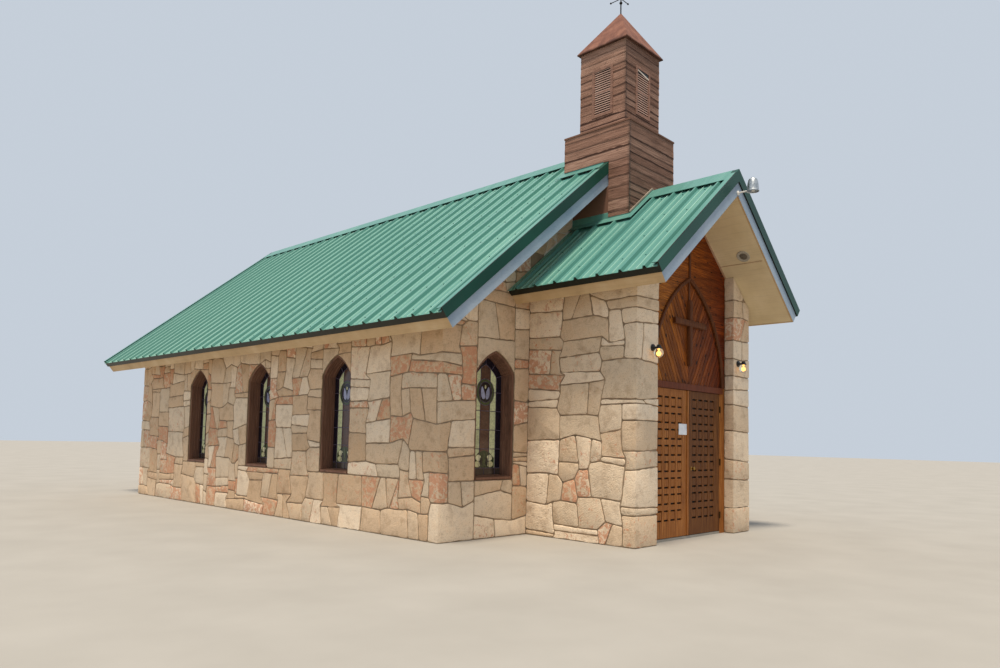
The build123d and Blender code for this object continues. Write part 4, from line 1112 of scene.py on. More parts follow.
def soffit_beads(finish):
    """Thin beads in the porch's soffit: along the gable boards and over the boards' joint."""
    shape = Shape()
    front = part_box("porch_fascia")[0].y + 0.025
    under, joint = 0.004, 0.86

    def soffit_at(x, y, side):
        """A point just under the soffit, at a distance from the middle."""
        return side * x, y, PORCH_RIDGE - x * TAN - RAFTER / COS - under

    for side in (-1, 1):
        ends = [soffit_at(x, DOOR_FACE - 0.018, side) for x in (0.03, DOORWAY_HALF - 0.004)]
        bar(shape, *ends, 0.024, 0.012, up=(side * SIN, 0, COS))
        ends = [soffit_at(joint, y, side) for y in (front + 0.03, DOOR_FACE - 0.03)]
        bar(shape, *ends, 0.003, 0.009, up=(side * SIN, 0, COS))
    piece("soffit_beads", shape, finish)


def square_path(low, high):
    """A path round a square shaft, from the middle of its back."""
    back = ((low.x + high.x) / 2, high.y)
    return [back, (low.x, high.y), (low.x, low.y), (high.x, low.y), (high.x, high.y), back]


def board_run(shape, wall, s0, s1, z0, z1, floor, ceiling, wave, tone, thick):
    """One lapped board on a wall: thick and wavy at its foot, thin at its top, cut to fit."""
    thin, step, lap, least, behind = 0.005, 0.045, 0.012, 0.006, -0.002
    count = max(1, round((s1 - s0) / step))
    run = []
    for i in range(count + 1):
        s = s0 + (s1 - s0) * i / count
        foot, top = max(z0 + wave(s), floor(s)), min(z1 + lap, ceiling(s))
        if top - foot < least:
            close_run(shape, run)
            run = []
            continue
        depth = [thick + (thin - thick) * max(0, z - z0) / (z1 - z0) for z in (foot, top)]
        spots = [(top, depth[1]), (foot, depth[0]), (foot, behind), (top, behind)]
        # The tone's green is how near the board's foot a point lies, for the painted lap shadow
        tones = [(tone[0], max(0, 1 - (z - z0 - wave(s)) / (z1 - z0)), tone[2], tone[3]) for z, d in spots]
        grains = [(s, z, tone[3] * 9) for z, d in spots]
        run.append(shape.ring([wall.place(s, z, d) for z, d in spots], tones, grains))
    close_run(shape, run)


def close_run(shape, run):
    """Joins a run of sections into a board, with a face over each end."""
    if len(run) > 1:
        for first, second in zip(run, run[1:]):
            shape.bridge(first, second)
        shape.cap(run[0])
        shape.cap(run[-1][::-1])


def lap_siding(name, box, z0, z1, pitch, floor, ceiling, breaks, gaps, seed, finish):
    """Lapped boards round a square shaft, with gaps left for the vents' casings."""
    chance, shape = random.Random(seed), Shape()
    wall = Unrolled(square_path(*box))
    ends = [0] + wall.folds + [wall.length]
    front_face, least, sliver, joint = 2, 0.05, 0.01, TINY * 20
    for number, (start, end) in enumerate(zip(ends, ends[1:])):
        face_pitch = pitch[0] if number == front_face else pitch[1]
        z = z0
        while z < z1 - 0.03:
            height = min(face_pitch * chance.uniform(0.8, 1.2), z1 - z)
            if z1 - z - height < least:
                height = z1 - z
            phases = [chance.uniform(0, 6.3) for _ in range(3)]
            size, thick = chance.uniform(0.0005, 0.0022), chance.uniform(0.006, 0.010)

            def wave(s, phases=phases, size=size):
                """How far the board's lower edge wanders at a place along it."""
                return size * (math.sin(s * 7 + phases[0]) + 0.6 * math.sin(s * 17 + phases[1])
                               + 0.35 * math.sin(s * 41 + phases[2]))

            # The tone's blue is how dark the painted shadow under this board's lap is
            tone = (chance.random(), 0, chance.uniform(0.15, 0.9), chance.random() * 10)
            board = (wave, tone, thick)
            inner = [cut for cut in breaks if start + TINY < cut < end - TINY]
            for a, b in zip([start] + inner, inner + [end]):
                middle, top = (a + b) / 2, z + height
                gap = next((g for g in gaps if g[0] < middle < g[1]), None)
                if gap and top > gap[2] and z < gap[3]:
                    if z < gap[2] - sliver:
                        board_run(shape, wall, a, b, z, top, floor, lambda s, g=gap: g[2], *board)
                    if top > gap[3] + sliver:
                        board_run(shape, wall, a, b, z, top, lambda s, g=gap: g[3], ceiling, *board)
                else:
                    left = a if a in ends else a + joint
                    right = b if b in ends else b - joint
                    board_run(shape, wall, left, right, z, top, floor, ceiling, *board)
            z += height
    piece(name, shape, finish, smooth=50)


def foot_strips(finish, half, front, over_flange):
    """The weathered strip where the steeple's front meets the porch roof, down both slopes."""
    strips = Shape()
    for side in (-1, 1):
        ends = [
            (side * x, front - 0.010, PORCH_RIDGE - x * TAN + over_flange + 0.014) for x in (half, 0.002)
        ]
        bar(strips, *ends, 0.016, 0.024, tone=(0.7, 0, 0, 3), edge=0.003)
    piece("steeple_foot_strips", strips, finish)


def steeple(finish, strip):
    """Lapped boards on the steeple's base and its belfry, and the slanting strip at the porch roof."""
    low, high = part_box("belfry")
    wide, deep = high.x - low.x, high.y - low.y
    vent_half, vent_low, vent_high = 0.1875, low.z + 0.240, low.z + 0.985
    centres = [(wide + deep) * i / 2 for i in range(5)]
    gaps = [(c - vent_half, c + vent_half, vent_low, vent_high) for c in centres]
    breaks = sorted(edge for gap in gaps for edge in gap[:2] if 0 < edge < centres[-1])
    lap_siding("belfry_siding", (low, high), low.z, high.z, (0.112, 0.119), lambda s: low.z,
               lambda s: high.z, breaks, gaps, 5, finish)

    top = low.z - 0.025
    base_low, base_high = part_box("steeple_base")
    lap = Vector((0.015, 0.015, 0))
    base_low, base_high = base_low + lap, base_high - lap
    wall = Unrolled(square_path(base_low, base_high))
    over_flange = (BATTEN + RIB_HEIGHT + 0.014) / COS
    over_trim = (BATTEN + RIB_HEIGHT + 0.006) / COS
    rake, trim_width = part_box("nave_edge_trim")[0].y, 0.09

    def roof_top(s):
        """Height of the roof and its flashing along the foot of the base."""
        x, y, _ = wall.place(s, 0, 0)
        if y > rake:
            return NAVE_RIDGE - abs(x) * TAN + (over_flange if y > rake + trim_width else over_trim)
        return PORCH_RIDGE - abs(x) * TAN + over_flange

    side_start, side_end = wall.folds[0], wall.folds[-1]
    at_rake = base_high.y - rake
    at_trim = at_rake - trim_width
    breaks = sorted([side_start + at_rake, side_end - at_rake, side_start + at_trim, side_end - at_trim])
    lap_siding("steeple_base_siding", (base_low, base_high), PORCH_RIDGE - base_high.x * TAN, top,
               (0.108, 0.150), roof_top, lambda s: top, breaks, [], 8, finish)
    foot_strips(strip, base_high.x, base_low.y, over_flange)


def loose_slat(finish, dark):
    """The slipped top slat of the front vent, hanging pale below the gap that it has left, and a dark strip
    of painted shade in the gap.
    """
    slat, gap = Shape(), Shape()
    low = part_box("belfry")[0]
    face, top, half = low.y - 0.009, low.z + 0.945, 0.150
    # Painted shade: a black strip where the gap would be dark
    bar(gap, (-half, face + 0.002, top - 0.030), (half, face + 0.002, top - 0.030), 0.003, 0.056)
    bar(slat, (-half, face - 0.004, top - 0.022), (half - 0.004, face - 0.004, top - 0.074), 0.005, 0.020)
    piece("vent_painted_shade", gap, dark)
    piece("slipped_slat", slat, finish)


def vent_nosings(finish):
    """The front edges of the slats in the belfry's four vents: pale stain with a painted highlight on the lit
    edges.
    """
    shape = Shape()
    low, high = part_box("belfry")
    centre, half, proud = (low + high) / 2, 0.155, 0.003
    count, lowest, rise = 20, low.z + 0.287, 0.651
    for i in range(count):
        z = lowest + rise * i / (count - 1)
        for side in (-1, 1):
            x, y = side * (high.x + proud), centre.y + side * (high.y - centre.y + proud)
            bar(shape, (x, centre.y - half, z), (x, centre.y + half, z), 0.006, 0.013)
            bar(shape, (-half, y, z), (half, y, z), 0.006, 0.013)
    piece("vent_nosings", shape, finish)


def window_wall(middle, face):
    """The wall round one window, with the window in its middle."""
    x, y = middle
    along = {"front": (1, 0), "right": (0, 1), "left": (0, -1)}[face]
    reach = (along[0] * WINDOW_PLACE, along[1] * WINDOW_PLACE)
    return Unrolled([(x - reach[0], y - reach[1]), (x + reach[0], y + reach[1])])


def shifted(outline):
    """A window's outline, moved from its middle to its place along its wall."""
    return [(x + WINDOW_PLACE, z) for x, z in outline]


def ellipse(centre, half_width, half_height, sides=28):
    """An upright oval, anticlockwise."""
    turns = [2 * math.pi * i / sides for i in range(sides)]
    return [(centre[0] + half_width * math.cos(t), centre[1] + half_height * math.sin(t)) for t in turns]


def came(shape, wall, points, width=0.009, closed=False):
    """A lead strip along a line of points, standing just out of the glass on both sides."""
    outside, inside = GLASS_FACE + 0.003, GLASS_FACE - 0.011
    count, rings = len(points), []
    for i, point in enumerate(points):
        before = points[i - 1] if i or closed else point
        after = points[(i + 1) % count] if i < count - 1 or closed else point
        along = Vector((after[0] - before[0], after[1] - before[1])).normalized()
        side = Vector((along.y, -along.x)) * width / 2
        edges = [(Vector(point) + side, outside), (Vector(point) + side, inside),
                 (Vector(point) - side, inside), (Vector(point) - side, outside)]
        rings.append(shape.ring([wall.place(p.x + WINDOW_PLACE, p.y, d) for p, d in edges]))
    if closed:
        for first, second in zip(rings, rings[1:] + rings[:1]):
            shape.bridge(second, first)
    else:
        shape.solid(rings[::-1])


def glass_colours():
    """The colours of the panes, by what they are in the pattern."""
    names = {"border": "#1B1826", "band": "#DEE4B4", "centre": "#5E4236", "strip": "#4A3E36",
             "frame": "#4A5634", "field": "#14151F", "leaf": "#A6ABCA", "bud": "#E0DCA8",
             "scroll": "#3A4628", "pale": "#F0ECC0"}
    return {name: tuple(linear(value)) for name, value in names.items()}


def window_panes(shape, wall, colours, chance):
    """The coloured panes of one window: border, band, centre, an oval with leaves and a leafy foot."""
    medallion = ellipse(MEDALLION, *OVAL)
    foot = [(-0.19, STRIP_TOP), (0.19, STRIP_TOP), (0.19, STRIP_TOP + 0.13), (0.1, ORNAMENT_TOP - 0.03),
            (0, ORNAMENT_TOP), (-0.1, ORNAMENT_TOP - 0.03), (-0.19, STRIP_TOP + 0.13)]

    def pane(outline, kind, lift=0.0, cut=True):
        """One pane of its kind; those that are cut leave room for the oval and the leafy foot."""
        parts = [outline]
        for hole in (medallion, foot) if cut else ():
            parts = [left for part in parts for left in outside_parts(part, hole)]
        shade = chance.uniform(0.82, 1.12)
        tone = tuple(part * shade for part in colours[kind][:3]) + (1.0,)
        for part in parts:
            part = cleaned(part, 0.0015)
            if len(part) > 2 and area(part) > 0.00005:
                slab(shape, wall, shifted(part), ((GLASS_FACE - 0.008, 0), (GLASS_FACE + lift, 0)), tone)

    def pair(outline, kind):
        """A pane and its mirror image."""
        pane(outline, kind)
        pane([(-x, z) for x, z in reversed(outline)], kind)

    outer, border = (window_arc(half - WINDOW_HALF, 8) for half in (CLEAR_HALF, BORDER_HALF))
    heights = [GLASS_FOOT, STRIP_TOP] + [z for z in CROSSBARS if z < outer[0][1] - 0.04]
    for low, high in zip(heights, heights[1:]):
        kinds = ("border", "band", "centre") if low > GLASS_FOOT else ("strip", "strip", "strip")
        spans = ((BORDER_HALF, CLEAR_HALF), (BAND_HALF, BORDER_HALF), (0, BAND_HALF))
        for (left, right), kind in zip(spans, kinds):
            pair([(left, low), (right, low), (right, high), (left, high)], kind)
    last = heights[-1]
    pair([(BORDER_HALF, last), (CLEAR_HALF, last), outer[0], border[0]], "border")
    gore = [(0, last), (BORDER_HALF, last)] + border
    pair(clip(gore, (BAND_HALF, 0), (1, 0)), "band")
    pair(clip(gore, (BAND_HALF, 0), (-1, 0)), "centre")
    for start in (0, 4):
        pair(outer[start:start + 5] + border[start:start + 5][::-1], "border")

    pane(ellipse(MEDALLION, *OVAL), "frame", 0.001, cut=False)
    pane(ellipse(MEDALLION, *INNER_OVAL), "field", 0.0015, cut=False)
    for side in (1, -1):
        turns = [2 * math.pi * i / 14 for i in range(14)]
        leaf = []
        for t in turns:
            along, across = 0.088 * math.cos(t), 0.030 * math.sin(t) * (1.15 - 0.45 * math.cos(t))
            leaf.append((side * (0.046 + across * 0.97 + along * 0.18), MEDALLION[1] - 0.012 + along * 0.97))
        pane(leaf if area(leaf) > 0 else leaf[::-1], "leaf", 0.002, cut=False)
    pane(ellipse((0, MEDALLION[1] + 0.070), 0.016, 0.026, 12), "bud", 0.002, cut=False)
    pane(foot, "scroll", 0.001, cut=False)
    for side in (1, -1):
        for centre, wide, high, kind in (((0.105, STRIP_TOP + 0.135), 0.050, 0.042, "pale"),
                                         ((0.120, STRIP_TOP + 0.050), 0.058, 0.040, "bud"),
                                         ((0.055, STRIP_TOP + 0.085), 0.022, 0.060, "field")):
            pane(ellipse((side * centre[0], centre[1]), wide, high, 16), kind, 0.002, cut=False)
    pane(ellipse((0, STRIP_TOP + 0.140), 0.020, 0.078, 14), "frame", 0.003, cut=False)


def window_leads(shape, wall):
    """The lead strips of one window."""
    outer, border = (window_arc(half - WINDOW_HALF, 8) for half in (CLEAR_HALF, BORDER_HALF))
    came(shape, wall, [(BORDER_HALF, GLASS_FOOT)] + border + [(-x, z) for x, z in border[-2::-1]]
         + [(-BORDER_HALF, GLASS_FOOT)])
    under_arch = max(z for x, z in border if x > BAND_HALF)
    for side in (1, -1):
        came(shape, wall, [(side * BAND_HALF, STRIP_TOP), (side * BAND_HALF, under_arch)])
        for i in (0, 4):
            came(shape, wall, [(side * x, z) for x, z in (outer[i], border[i])])
    for z in [STRIP_TOP] + [z for z in CROSSBARS if z < outer[0][1] - 0.04]:
        if abs(z - MEDALLION[1]) < OVAL[1]:
            reach = OVAL[0] * math.sqrt(1 - ((z - MEDALLION[1]) / OVAL[1]) ** 2)
            came(shape, wall, [(-CLEAR_HALF, z), (-reach, z)])
            came(shape, wall, [(reach, z), (CLEAR_HALF, z)])
        elif not STRIP_TOP < z < ORNAMENT_TOP:
            came(shape, wall, [(-CLEAR_HALF, z), (CLEAR_HALF, z)])
    came(shape, wall, [(0, GLASS_FOOT), (0, STRIP_TOP)])
    came(shape, wall, [border[-1], outer[-1]], 0.007)
    came(shape, wall, ellipse(MEDALLION, *OVAL), 0.010, closed=True)
    came(shape, wall, ellipse(MEDALLION, *INNER_OVAL), 0.008, closed=True)


def arch_edge(arc, z):
    """How far the arch stands from its middle at a height."""
    for (x0, z0), (x1, z1) in zip(arc, arc[1:]):
        if z <= z1:
            return x0 + (x1 - x0) * (z - z0) / (z1 - z0)
    return 0.0


def level_boards(shape, wall, arc, top, chance):
    """Level boards on the gable, from the lintel to the roof, each side cut to the arch and the wall."""
    middle, edge, pitch, z = DOORWAY_HALF, DOORWAY_HALF - 0.002, 0.098, LINTEL_TOP
    gap, levels_out = 0.0015, ((-0.002, 0), (0.004, 0), (0.006, 0.003))
    turns = [point[1] for point in arc] + [top - edge * TAN]
    while z < top - 0.03:
        low, high = z + gap, min(z + pitch, top) - gap
        levels = [low] + sorted(turn for turn in turns if low + 0.005 < turn < high - 0.005) + [high]
        tone = (chance.random(), 0, 0, chance.random() * 10)
        for side in (-1, 1):
            outside = [(middle + side * min(edge, (top - v) / TAN), v) for v in levels]
            inside = [(middle + side * arch_edge(arc, v), v) for v in reversed(levels)]
            outline = cleaned(outside + inside, 0.002)
            slab(shape, wall, outline if side > 0 else outline[::-1], levels_out, tone,
                 grain=lambda s, z: (s, z, tone[3]))
        z += pitch


def window_lining(shape, wall):
    """The stepped lining in front of the glass, and the sloping sill."""
    steps = ((0.058, 0.035), (0.058, 0.042), (0.100, 0.042), (0.100, 0.049), (0.145, 0.049), (0.145, 0.062),
             (0.188, 0.062), (0.188, 0.035))
    lofted(shape, wall, [(shifted(pointed(-g, 8)), -depth) for depth, g in steps][::-1])
    foot = WINDOW_SILL + FRAME_FACE
    half = WINDOW_HALF - FRAME_FACE + 0.002
    profile = [(-0.187, foot - 0.002), (-0.187, foot + 0.028), (-0.060, foot + 0.014), (-0.004, foot + 0.006),
               (0.004, foot - 0.001), (0.004, foot - 0.022), (-0.004, foot - 0.028), (-0.014, foot - 0.028),
               (-0.014, foot - 0.002)]
    rings = [shape.ring([wall.place(1 + s, z, d) for d, z in profile]) for s in (-half, half)]
    shape.bridge(rings[0], rings[1])
    shape.cap(rings[0][::-1])
    shape.cap(rings[1])


def windows(timber, glass, lead):
    """The leaded lights and linings of all eight windows, in one piece of each kind a wall."""
    colours = glass_colours()
    groups = {
        "front": [window_wall((x, FRONT), "front") for x in (-FRONT_WINDOW, FRONT_WINDOW)],
        "nave_left": [window_wall((-NAVE_HALF, y), "left") for y in SIDE_WINDOWS],
        "nave_right": [window_wall((NAVE_HALF, y), "right") for y in SIDE_WINDOWS],
    }
    for name, walls in groups.items():
        panes, leads, linings, chance = Shape(), Shape(), Shape(), random.Random(name)
        for wall in walls:
            window_panes(panes, wall, colours, chance)
            window_leads(leads, wall)
            window_lining(linings, wall)
        piece(name + "_leaded_lights", panes, glass, replaces=[name + "_window_glass"])
        piece(name + "_leads", leads, lead)
        piece(name + "_window_linings", linings, timber)


def arch_arc(grow, steps=16):
    """The right-hand arc of the panel over the doors, moved out by a distance."""
    low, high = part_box("arch_panel")
    half, rise = high.x, high.z - low.z
    radius = (half ** 2 + rise ** 2) / (2 * half)
    return half_arch((half - radius, LINTEL_TOP), radius + grow, half + grow, steps)


def slanting_boards(wall, arc, chance, finish):
    """The boards in the arch over the doors, slanting up to its middle from both sides."""
    shape, pitch, slant = Shape(), 0.070, math.radians(60)
    middle, recess = DOORWAY_HALF, DOOR_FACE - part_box("arch_panel")[0].y
    levels_out = ((recess - 0.002, 0), (recess + 0.004, 0), (recess + 0.007, 0.005))
    for side in (1, -1):
        along = Vector((side * math.cos(slant), math.sin(slant)))
        across = Vector((-side * math.sin(slant), math.cos(slant)))
        half = [(middle, LINTEL_TOP), (middle + side * arc[0][0], LINTEL_TOP)]
        half += [(middle + side * x, z) for x, z in arc]
        half = half if side > 0 else half[::-1]
        for k in range(-16, 26):
            near = Vector((middle, LINTEL_TOP)) - across * pitch * k
            outline = clip(half, near, -across)
            outline = clip(outline, near - across * pitch, across)
            if len(outline) < 3:
                continue
            part = inset(cleaned(outline, 0.004), 0.0022)
            tone = (chance.random(), 0, 0, chance.random() * 10)
            if len(part) > 2 and area(part) > 0.0004:
                slab(shape, wall, part, levels_out, tone, grain=lambda s, z: (
                    s * along.x + z * along.y, s * across.x + z * across.y, tone[3]))
    piece("arch_boards", shape, finish)


def arch_moulding(wall, finish):
    """The moulding round the arch, in one sweep from foot to foot."""
    profile = ((-0.028, 0.0), (-0.028, 0.020), (-0.020, 0.028), (-0.008, 0.028), (-0.004, 0.034),
               (0.014, 0.034), (0.022, 0.028), (0.028, 0.016), (0.028, 0.0))
    shape, sections, middle = Shape(), [], DOORWAY_HALF
    for grow, depth in profile:
        arc = arch_arc(grow, 24)
        right, left = [(middle + x, z) for x, z in arc], [(middle - x, z) for x, z in arc[-2::-1]]
        sections.append((right + left, depth))
    lofted(shape, wall, sections, loop=False)
    piece("arch_moulding_profile", shape, finish, replaces=["arch_moulding"])


def gable_batten(top, finish):
    """The upright batten over the arch, and the narrower one in it over the cross."""
    shape = Shape()
    cross_top, arch_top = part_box("gable_cross")[1].z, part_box("arch_panel")[1].z
    for out, low, high, width, thick in ((-0.004, arch_top + 0.02, top - 0.02, 0.048, 0.034),
                                         (0.004, cross_top + 0.002, arch_top - 0.03, 0.040, 0.030)):
        ends = [(0, DOOR_FACE + out, z) for z in (low, high)]
        bar(shape, *ends, width, thick, up=(0, 1, 0), edge=0.003)
    piece("gable_batten", shape, finish)


def porch_gable(pine, dark):
    """Level boards round the arch, slanting boards in it, the moulding between, and the upright battens."""
    chance, boards = random.Random(4), Shape()
    wall = Unrolled([(-DOORWAY_HALF, DOOR_FACE), (DOORWAY_HALF, DOOR_FACE)])
    top, arc = PORCH_RIDGE - RAFTER / COS - 0.004, arch_arc(0)
    level_boards(boards, wall, arc, top, chance)
    piece("gable_boards", boards, pine)
    slanting_boards(wall, arc, chance, pine)
    arch_moulding(wall, dark)
    gable_batten(top, dark)


def hewn_cross(dark):
    """The cross of two hewn timbers, its faces a little uneven and its edges worn."""
    chance, shape = random.Random(9), Shape()
    low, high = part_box("gable_cross")
    post, arm, arm_z = 0.038, 0.044, low.z + 0.590
    count, edge, end_cut = 26, 0.007, 0.004

    def timber(start, end, half_wide, face, back, upright):
        """One timber of the cross, from end to end."""
        rings = []
        for i in range(count + 1):
            at = start + (end - start) * i / count
            slim = end_cut if i in (0, count) else 0.0
            worn = [half_wide - slim - 0.001 - abs(chance.gauss(0, 0.0016)) for _ in range(2)]
            out = face + slim + abs(chance.gauss(0, 0.0014))
            left, right = -worn[0], worn[1]
            section = [(left, back), (left, out + edge), (left + edge, out), (right - edge, out),
                       (right, out + edge), (right, back)]
            spots = [(x, y, at) if upright else (at, y, arm_z - x) for x, y in section]
            rings.append(shape.ring(spots, grains=[(at, x + y, 3 if upright else 7) for x, y in section]))
        shape.solid(rings[::-1])

    timber(low.z, high.z, post, low.y + 0.004, high.y, True)
    timber(low.x, high.x, arm, low.y, high.y, False)
    piece("hewn_cross", shape, dark, smooth=50, replaces=["gable_cross"])


def wall_lamps(black, glass, glow):
    """The two lamps on the piers: a round plate, a short arm, a hood, a clear globe and its lit bulb."""
    metal, globes, bulbs = Shape(), Shape(), Shape()
    low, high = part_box("porch_sconces")
    radius = 0.062
    plate = [(0.045, 0.0), (0.045, 0.022), (0.040, 0.028), (0.016, 0.032), (0.012, 0.040)]
    arm = [(0.011, 0.03), (0.011, 0.1)]
    hood = [(0.044, 0.050), (0.042, 0.062), (0.030, 0.078), (0.022, 0.100), (0.010, 0.104)]
    bulb = ball_profile(0.022, -0.008, 8) + [(0.010, 0.030), (0.010, 0.052)]
    for x in (low.x + radius, high.x - radius):
        globe = (x, low.y + radius, low.z + radius)
        fixing = (x, PORCH_FRONT, low.z + radius + 0.070)
        turned(metal, plate, fixing, (0, -1, 0))
        turned(metal, arm, fixing, (0, -1, 0), 12)
        turned(metal, hood, globe)
        turned(globes, ball_profile(radius, 0, 14, 0.02, 0.84), globe)
        turned(bulbs, bulb, globe, sides=16)
    piece("lamp_fittings", metal, black, replaces=["porch_sconces"])
    piece("lamp_bulbs", bulbs, glow)
    piece("lamp_globes", globes, glass)


def yard_light(steel, white):
    """The bell-shaped lamp at the porch's gable: a spun shade with its sensor on top, a lamp and an arm."""
    shade, trim = Shape(), Shape()
    low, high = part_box("gable_light")
    bell = [(0.074, 0.006), (0.080, 0.0), (0.080, 0.006), (0.077, 0.012), (0.074, 0.050),
            (0.068, 0.110), (0.058, 0.150), (0.050, 0.165), (0.030, 0.168), (0.024, 0.169),
            (0.024, 0.182), (0.018, 0.187), (0.005, 0.187)]
    lamp = [(0.020, 0.002), (0.030, 0.010), (0.033, 0.040), (0.033, 0.100), (0.020, 0.120), (0.005, 0.122)]
    y, arm_z = low.y + 0.080, low.z + 0.022
    turned(shade, bell, (0, y, low.z), sides=36)
    turned(trim, lamp, (0, y, low.z), sides=20)
    turned(trim, [(0.011, 0.0), (0.011, 0.142)], (0, y + 0.068, arm_z), (0, 1, 0), 14)
    turned(trim, [(0.030, 0.0), (0.030, 0.010), (0.020, 0.014)], (0, high.y, arm_z), (0, -1, 0), 20)
    piece("yard_light_shade", shade, steel, replaces=["gable_light"])
    piece("yard_light_arm", trim, white)


def soffit_rings(white, lens):
    """The round lights on the porch's soffits: a shallow dished ring and its lens."""
    rings, dishes = Shape(), Shape()
    low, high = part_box("soffit_lights")
    radius, depth = 0.095, 0.010
    ring = [(radius, -0.002), (radius, 0.006), (0.088, depth), (0.062, 0.009), (0.056, 0.004)]
    dish = [(0.057, -0.002), (0.057, 0.004), (0.048, 0.006), (0.020, 0.008), (0.004, 0.008)]
    for side in (-1, 1):
        x = side * (high.x - radius * COS - depth * SIN / 2)
        spot = (x, (low.y + high.y) / 2, PORCH_RIDGE - abs(x) * TAN - RAFTER / COS)
        for shape, profile in ((rings, ring), (dishes, dish)):
            turned(shape, profile, spot, (-side * SIN, 0, -COS), 36)
    piece("soffit_rings", rings, white, replaces=["soffit_lights"])
    piece("soffit_dishes", dishes, lens)


def weathervane(iron):
    """The vane on the pyramid's tip: a round rod, a knob, four arms with balls and a flat arrow."""
    shape = Shape()
    low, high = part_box("weathervane")
    y, arms_z, arrow_z = (low.y + high.y) / 2, low.z + 0.25, low.z + 0.44
    rod = [(0.012, 0.0), (0.010, 0.02), (0.010, 0.155)] + ball_profile(0.024, 0.18, 8, 0.15, 0.85)
    rod += [(0.009, 0.205), (0.009, 0.54), (0.003, 0.56)]
    turned(shape, rod, (0, y, low.z), sides=16)
    arm = [(0.006, 0.0), (0.006, 0.176)] + ball_profile(0.0148, 0.19, 6, 0.1, 0.97)
    for axis in ((1, 0, 0), (-1, 0, 0), (0, 1, 0), (0, -1, 0)):
        turned(shape, arm, (0, y, arms_z), axis, 12)
    reach, thick = high.x, 0.003
    upper = [(reach, 0), (reach - 0.110, 0.045), (reach - 0.092, 0.009), (-reach + 0.110, 0.009),
             (-reach, 0.060)]
    arrow = upper + [(-reach + 0.045, 0)] + [(x, -z) for x, z in upper[:0:-1]]
    front, back = [
        shape.ring([(x, y + out, arrow_z + z) for x, z in arrow]) for out in (-thick, thick)
    ]
    shape.solid([back, front])
    piece("vane", shape, iron, replaces=["weathervane"])


def door_notice(finish):
    """A blank notice taped beside the meeting edge of the left-hand leaf, its corners a little curled."""
    shape = Shape()
    left, right, low, high, face = -0.258, -0.048, 1.397, 1.545, DOOR_FACE - 0.003
    corners = ((left, low), (right, low), (right, high), (left, high))
    front, back = [
        shape.ring([(x, face + curl, z) for (x, z), curl in zip(corners, curls)])
        for curls in ((0, -0.002, 0, -0.001), (0.001, -0.001, 0.001, 0))
    ]
    shape.solid([back, front])
    piece("door_notice", shape, finish, body="left_leaf")


def door_knob(brass):
    """The turned brass knob on its round rose."""
    shape = Shape()
    low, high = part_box("door_handle")
    profile = [(0.027, 0.0), (0.027, 0.002), (0.024, 0.005), (0.014, 0.006), (0.010, 0.012), (0.010, 0.026),
               (0.014, 0.030), (0.022, 0.034), (0.026, 0.042), (0.025, 0.051), (0.019, 0.057), (0.008, 0.060)]
    turned(shape, profile, ((low.x + high.x) / 2, high.y, (low.z + high.z) / 2), (0, -1, 0), 32)
    piece("door_knob", shape, brass, body="right_leaf", replaces=["door_handle"])


def stage():
    """A pale floor for the object to stand on, soft daylight and the photograph's camera."""
    finish, tree = new_material("pale_floor")
    place = add(tree, "TexCoord").outputs["Object"]
    clouds = add(tree, "TexNoise", {"Vector": place, "Scale": per(900), "Detail": 3.0})
    colour = add(tree, "ValToRGB", {"Fac": clouds}, stops=[(0.3, "#9E9A93"), (0.7, "#A5A19A")])
    shader = add(tree, "BsdfPrincipled", {"Base Color": colour, "Roughness": 0.9})
    add(tree, "OutputMaterial", {"Surface": shader})
    floor, far, under = Shape(), 90, -0.002
    floor.cap(floor.ring([(-far, -far, under), (far, -far, under), (far, far, under), (-far, far, under)]))
    mesh = bpy.data.meshes.new("floor")
    mesh.from_pydata(floor.points, [], floor.faces)
    mesh.materials.append(finish)
    ground = bpy.data.objects.new("floor", mesh)
    bpy.context.scene.collection.objects.link(ground)

    world = bpy.data.worlds.new("soft_sky")
    world.use_nodes = True
    bpy.context.scene.world = world
    background = world.node_tree.nodes["Background"]
    background.inputs["Color"].default_value = linear("#DAE4F0")
    background.inputs["Strength"].default_value = 0.8

    sun = bpy.data.lights.new("sun", "SUN")
    sun.energy = 4.0
    sun.angle = math.radians(10)
    sun.color = linear("#FFF1DC")[:3]
    lamp = bpy.data.objects.new("sun", sun)
    bpy.context.scene.collection.objects.link(lamp)
    towards = Vector((0.40, 0.28, -1.35))
    lamp.rotation_euler = towards.to_track_quat("-Z", "Y").to_euler()

    camera = bpy.data.cameras.new("camera")
    camera.sensor_width = 36
    camera.lens = CAMERA_LENS
    camera.shift_y = CAMERA_SHIFT
    camera.clip_end = 300
    viewer = bpy.data.objects.new("camera", camera)
    bpy.context.scene.collection.objects.link(viewer)
    yaw, pitch, roll = (math.radians(a) for a in CAMERA_ANGLES)
    ahead = Vector((math.sin(yaw) * math.cos(pitch), math.cos(yaw) * math.cos(pitch), math.sin(pitch)))
    side = Vector((math.cos(yaw), -math.sin(yaw), 0))
    over = side.cross(ahead)
    right = side * math.cos(roll) + over * math.sin(roll)
    up = over * math.cos(roll) - side * math.sin(roll)
    turn = Matrix((right, up, -ahead)).transposed()
    viewer.matrix_world = Matrix.Translation(CAMERA_PLACE) @ turn.to_4x4()
    bpy.context.scene.camera = viewer
    bpy.context.scene.view_settings.view_transform = "Standard"


def dress(finish, *nodes):
    """Gives CAD nodes their finish."""
    for node in nodes:
        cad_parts[node].material_slots[0].material = finish


stage()

# Stone walls
dress(mortar(), "nave_right_wall", "nave_left_wall", "nave_back_wall", "nave_front_wall_right",
      "nave_front_wall_left", "nave_front_gable", "porch_right_wall", "porch_left_wall",
      "porch_right_pier", "porch_left_pier")
all_stonework(limestone())

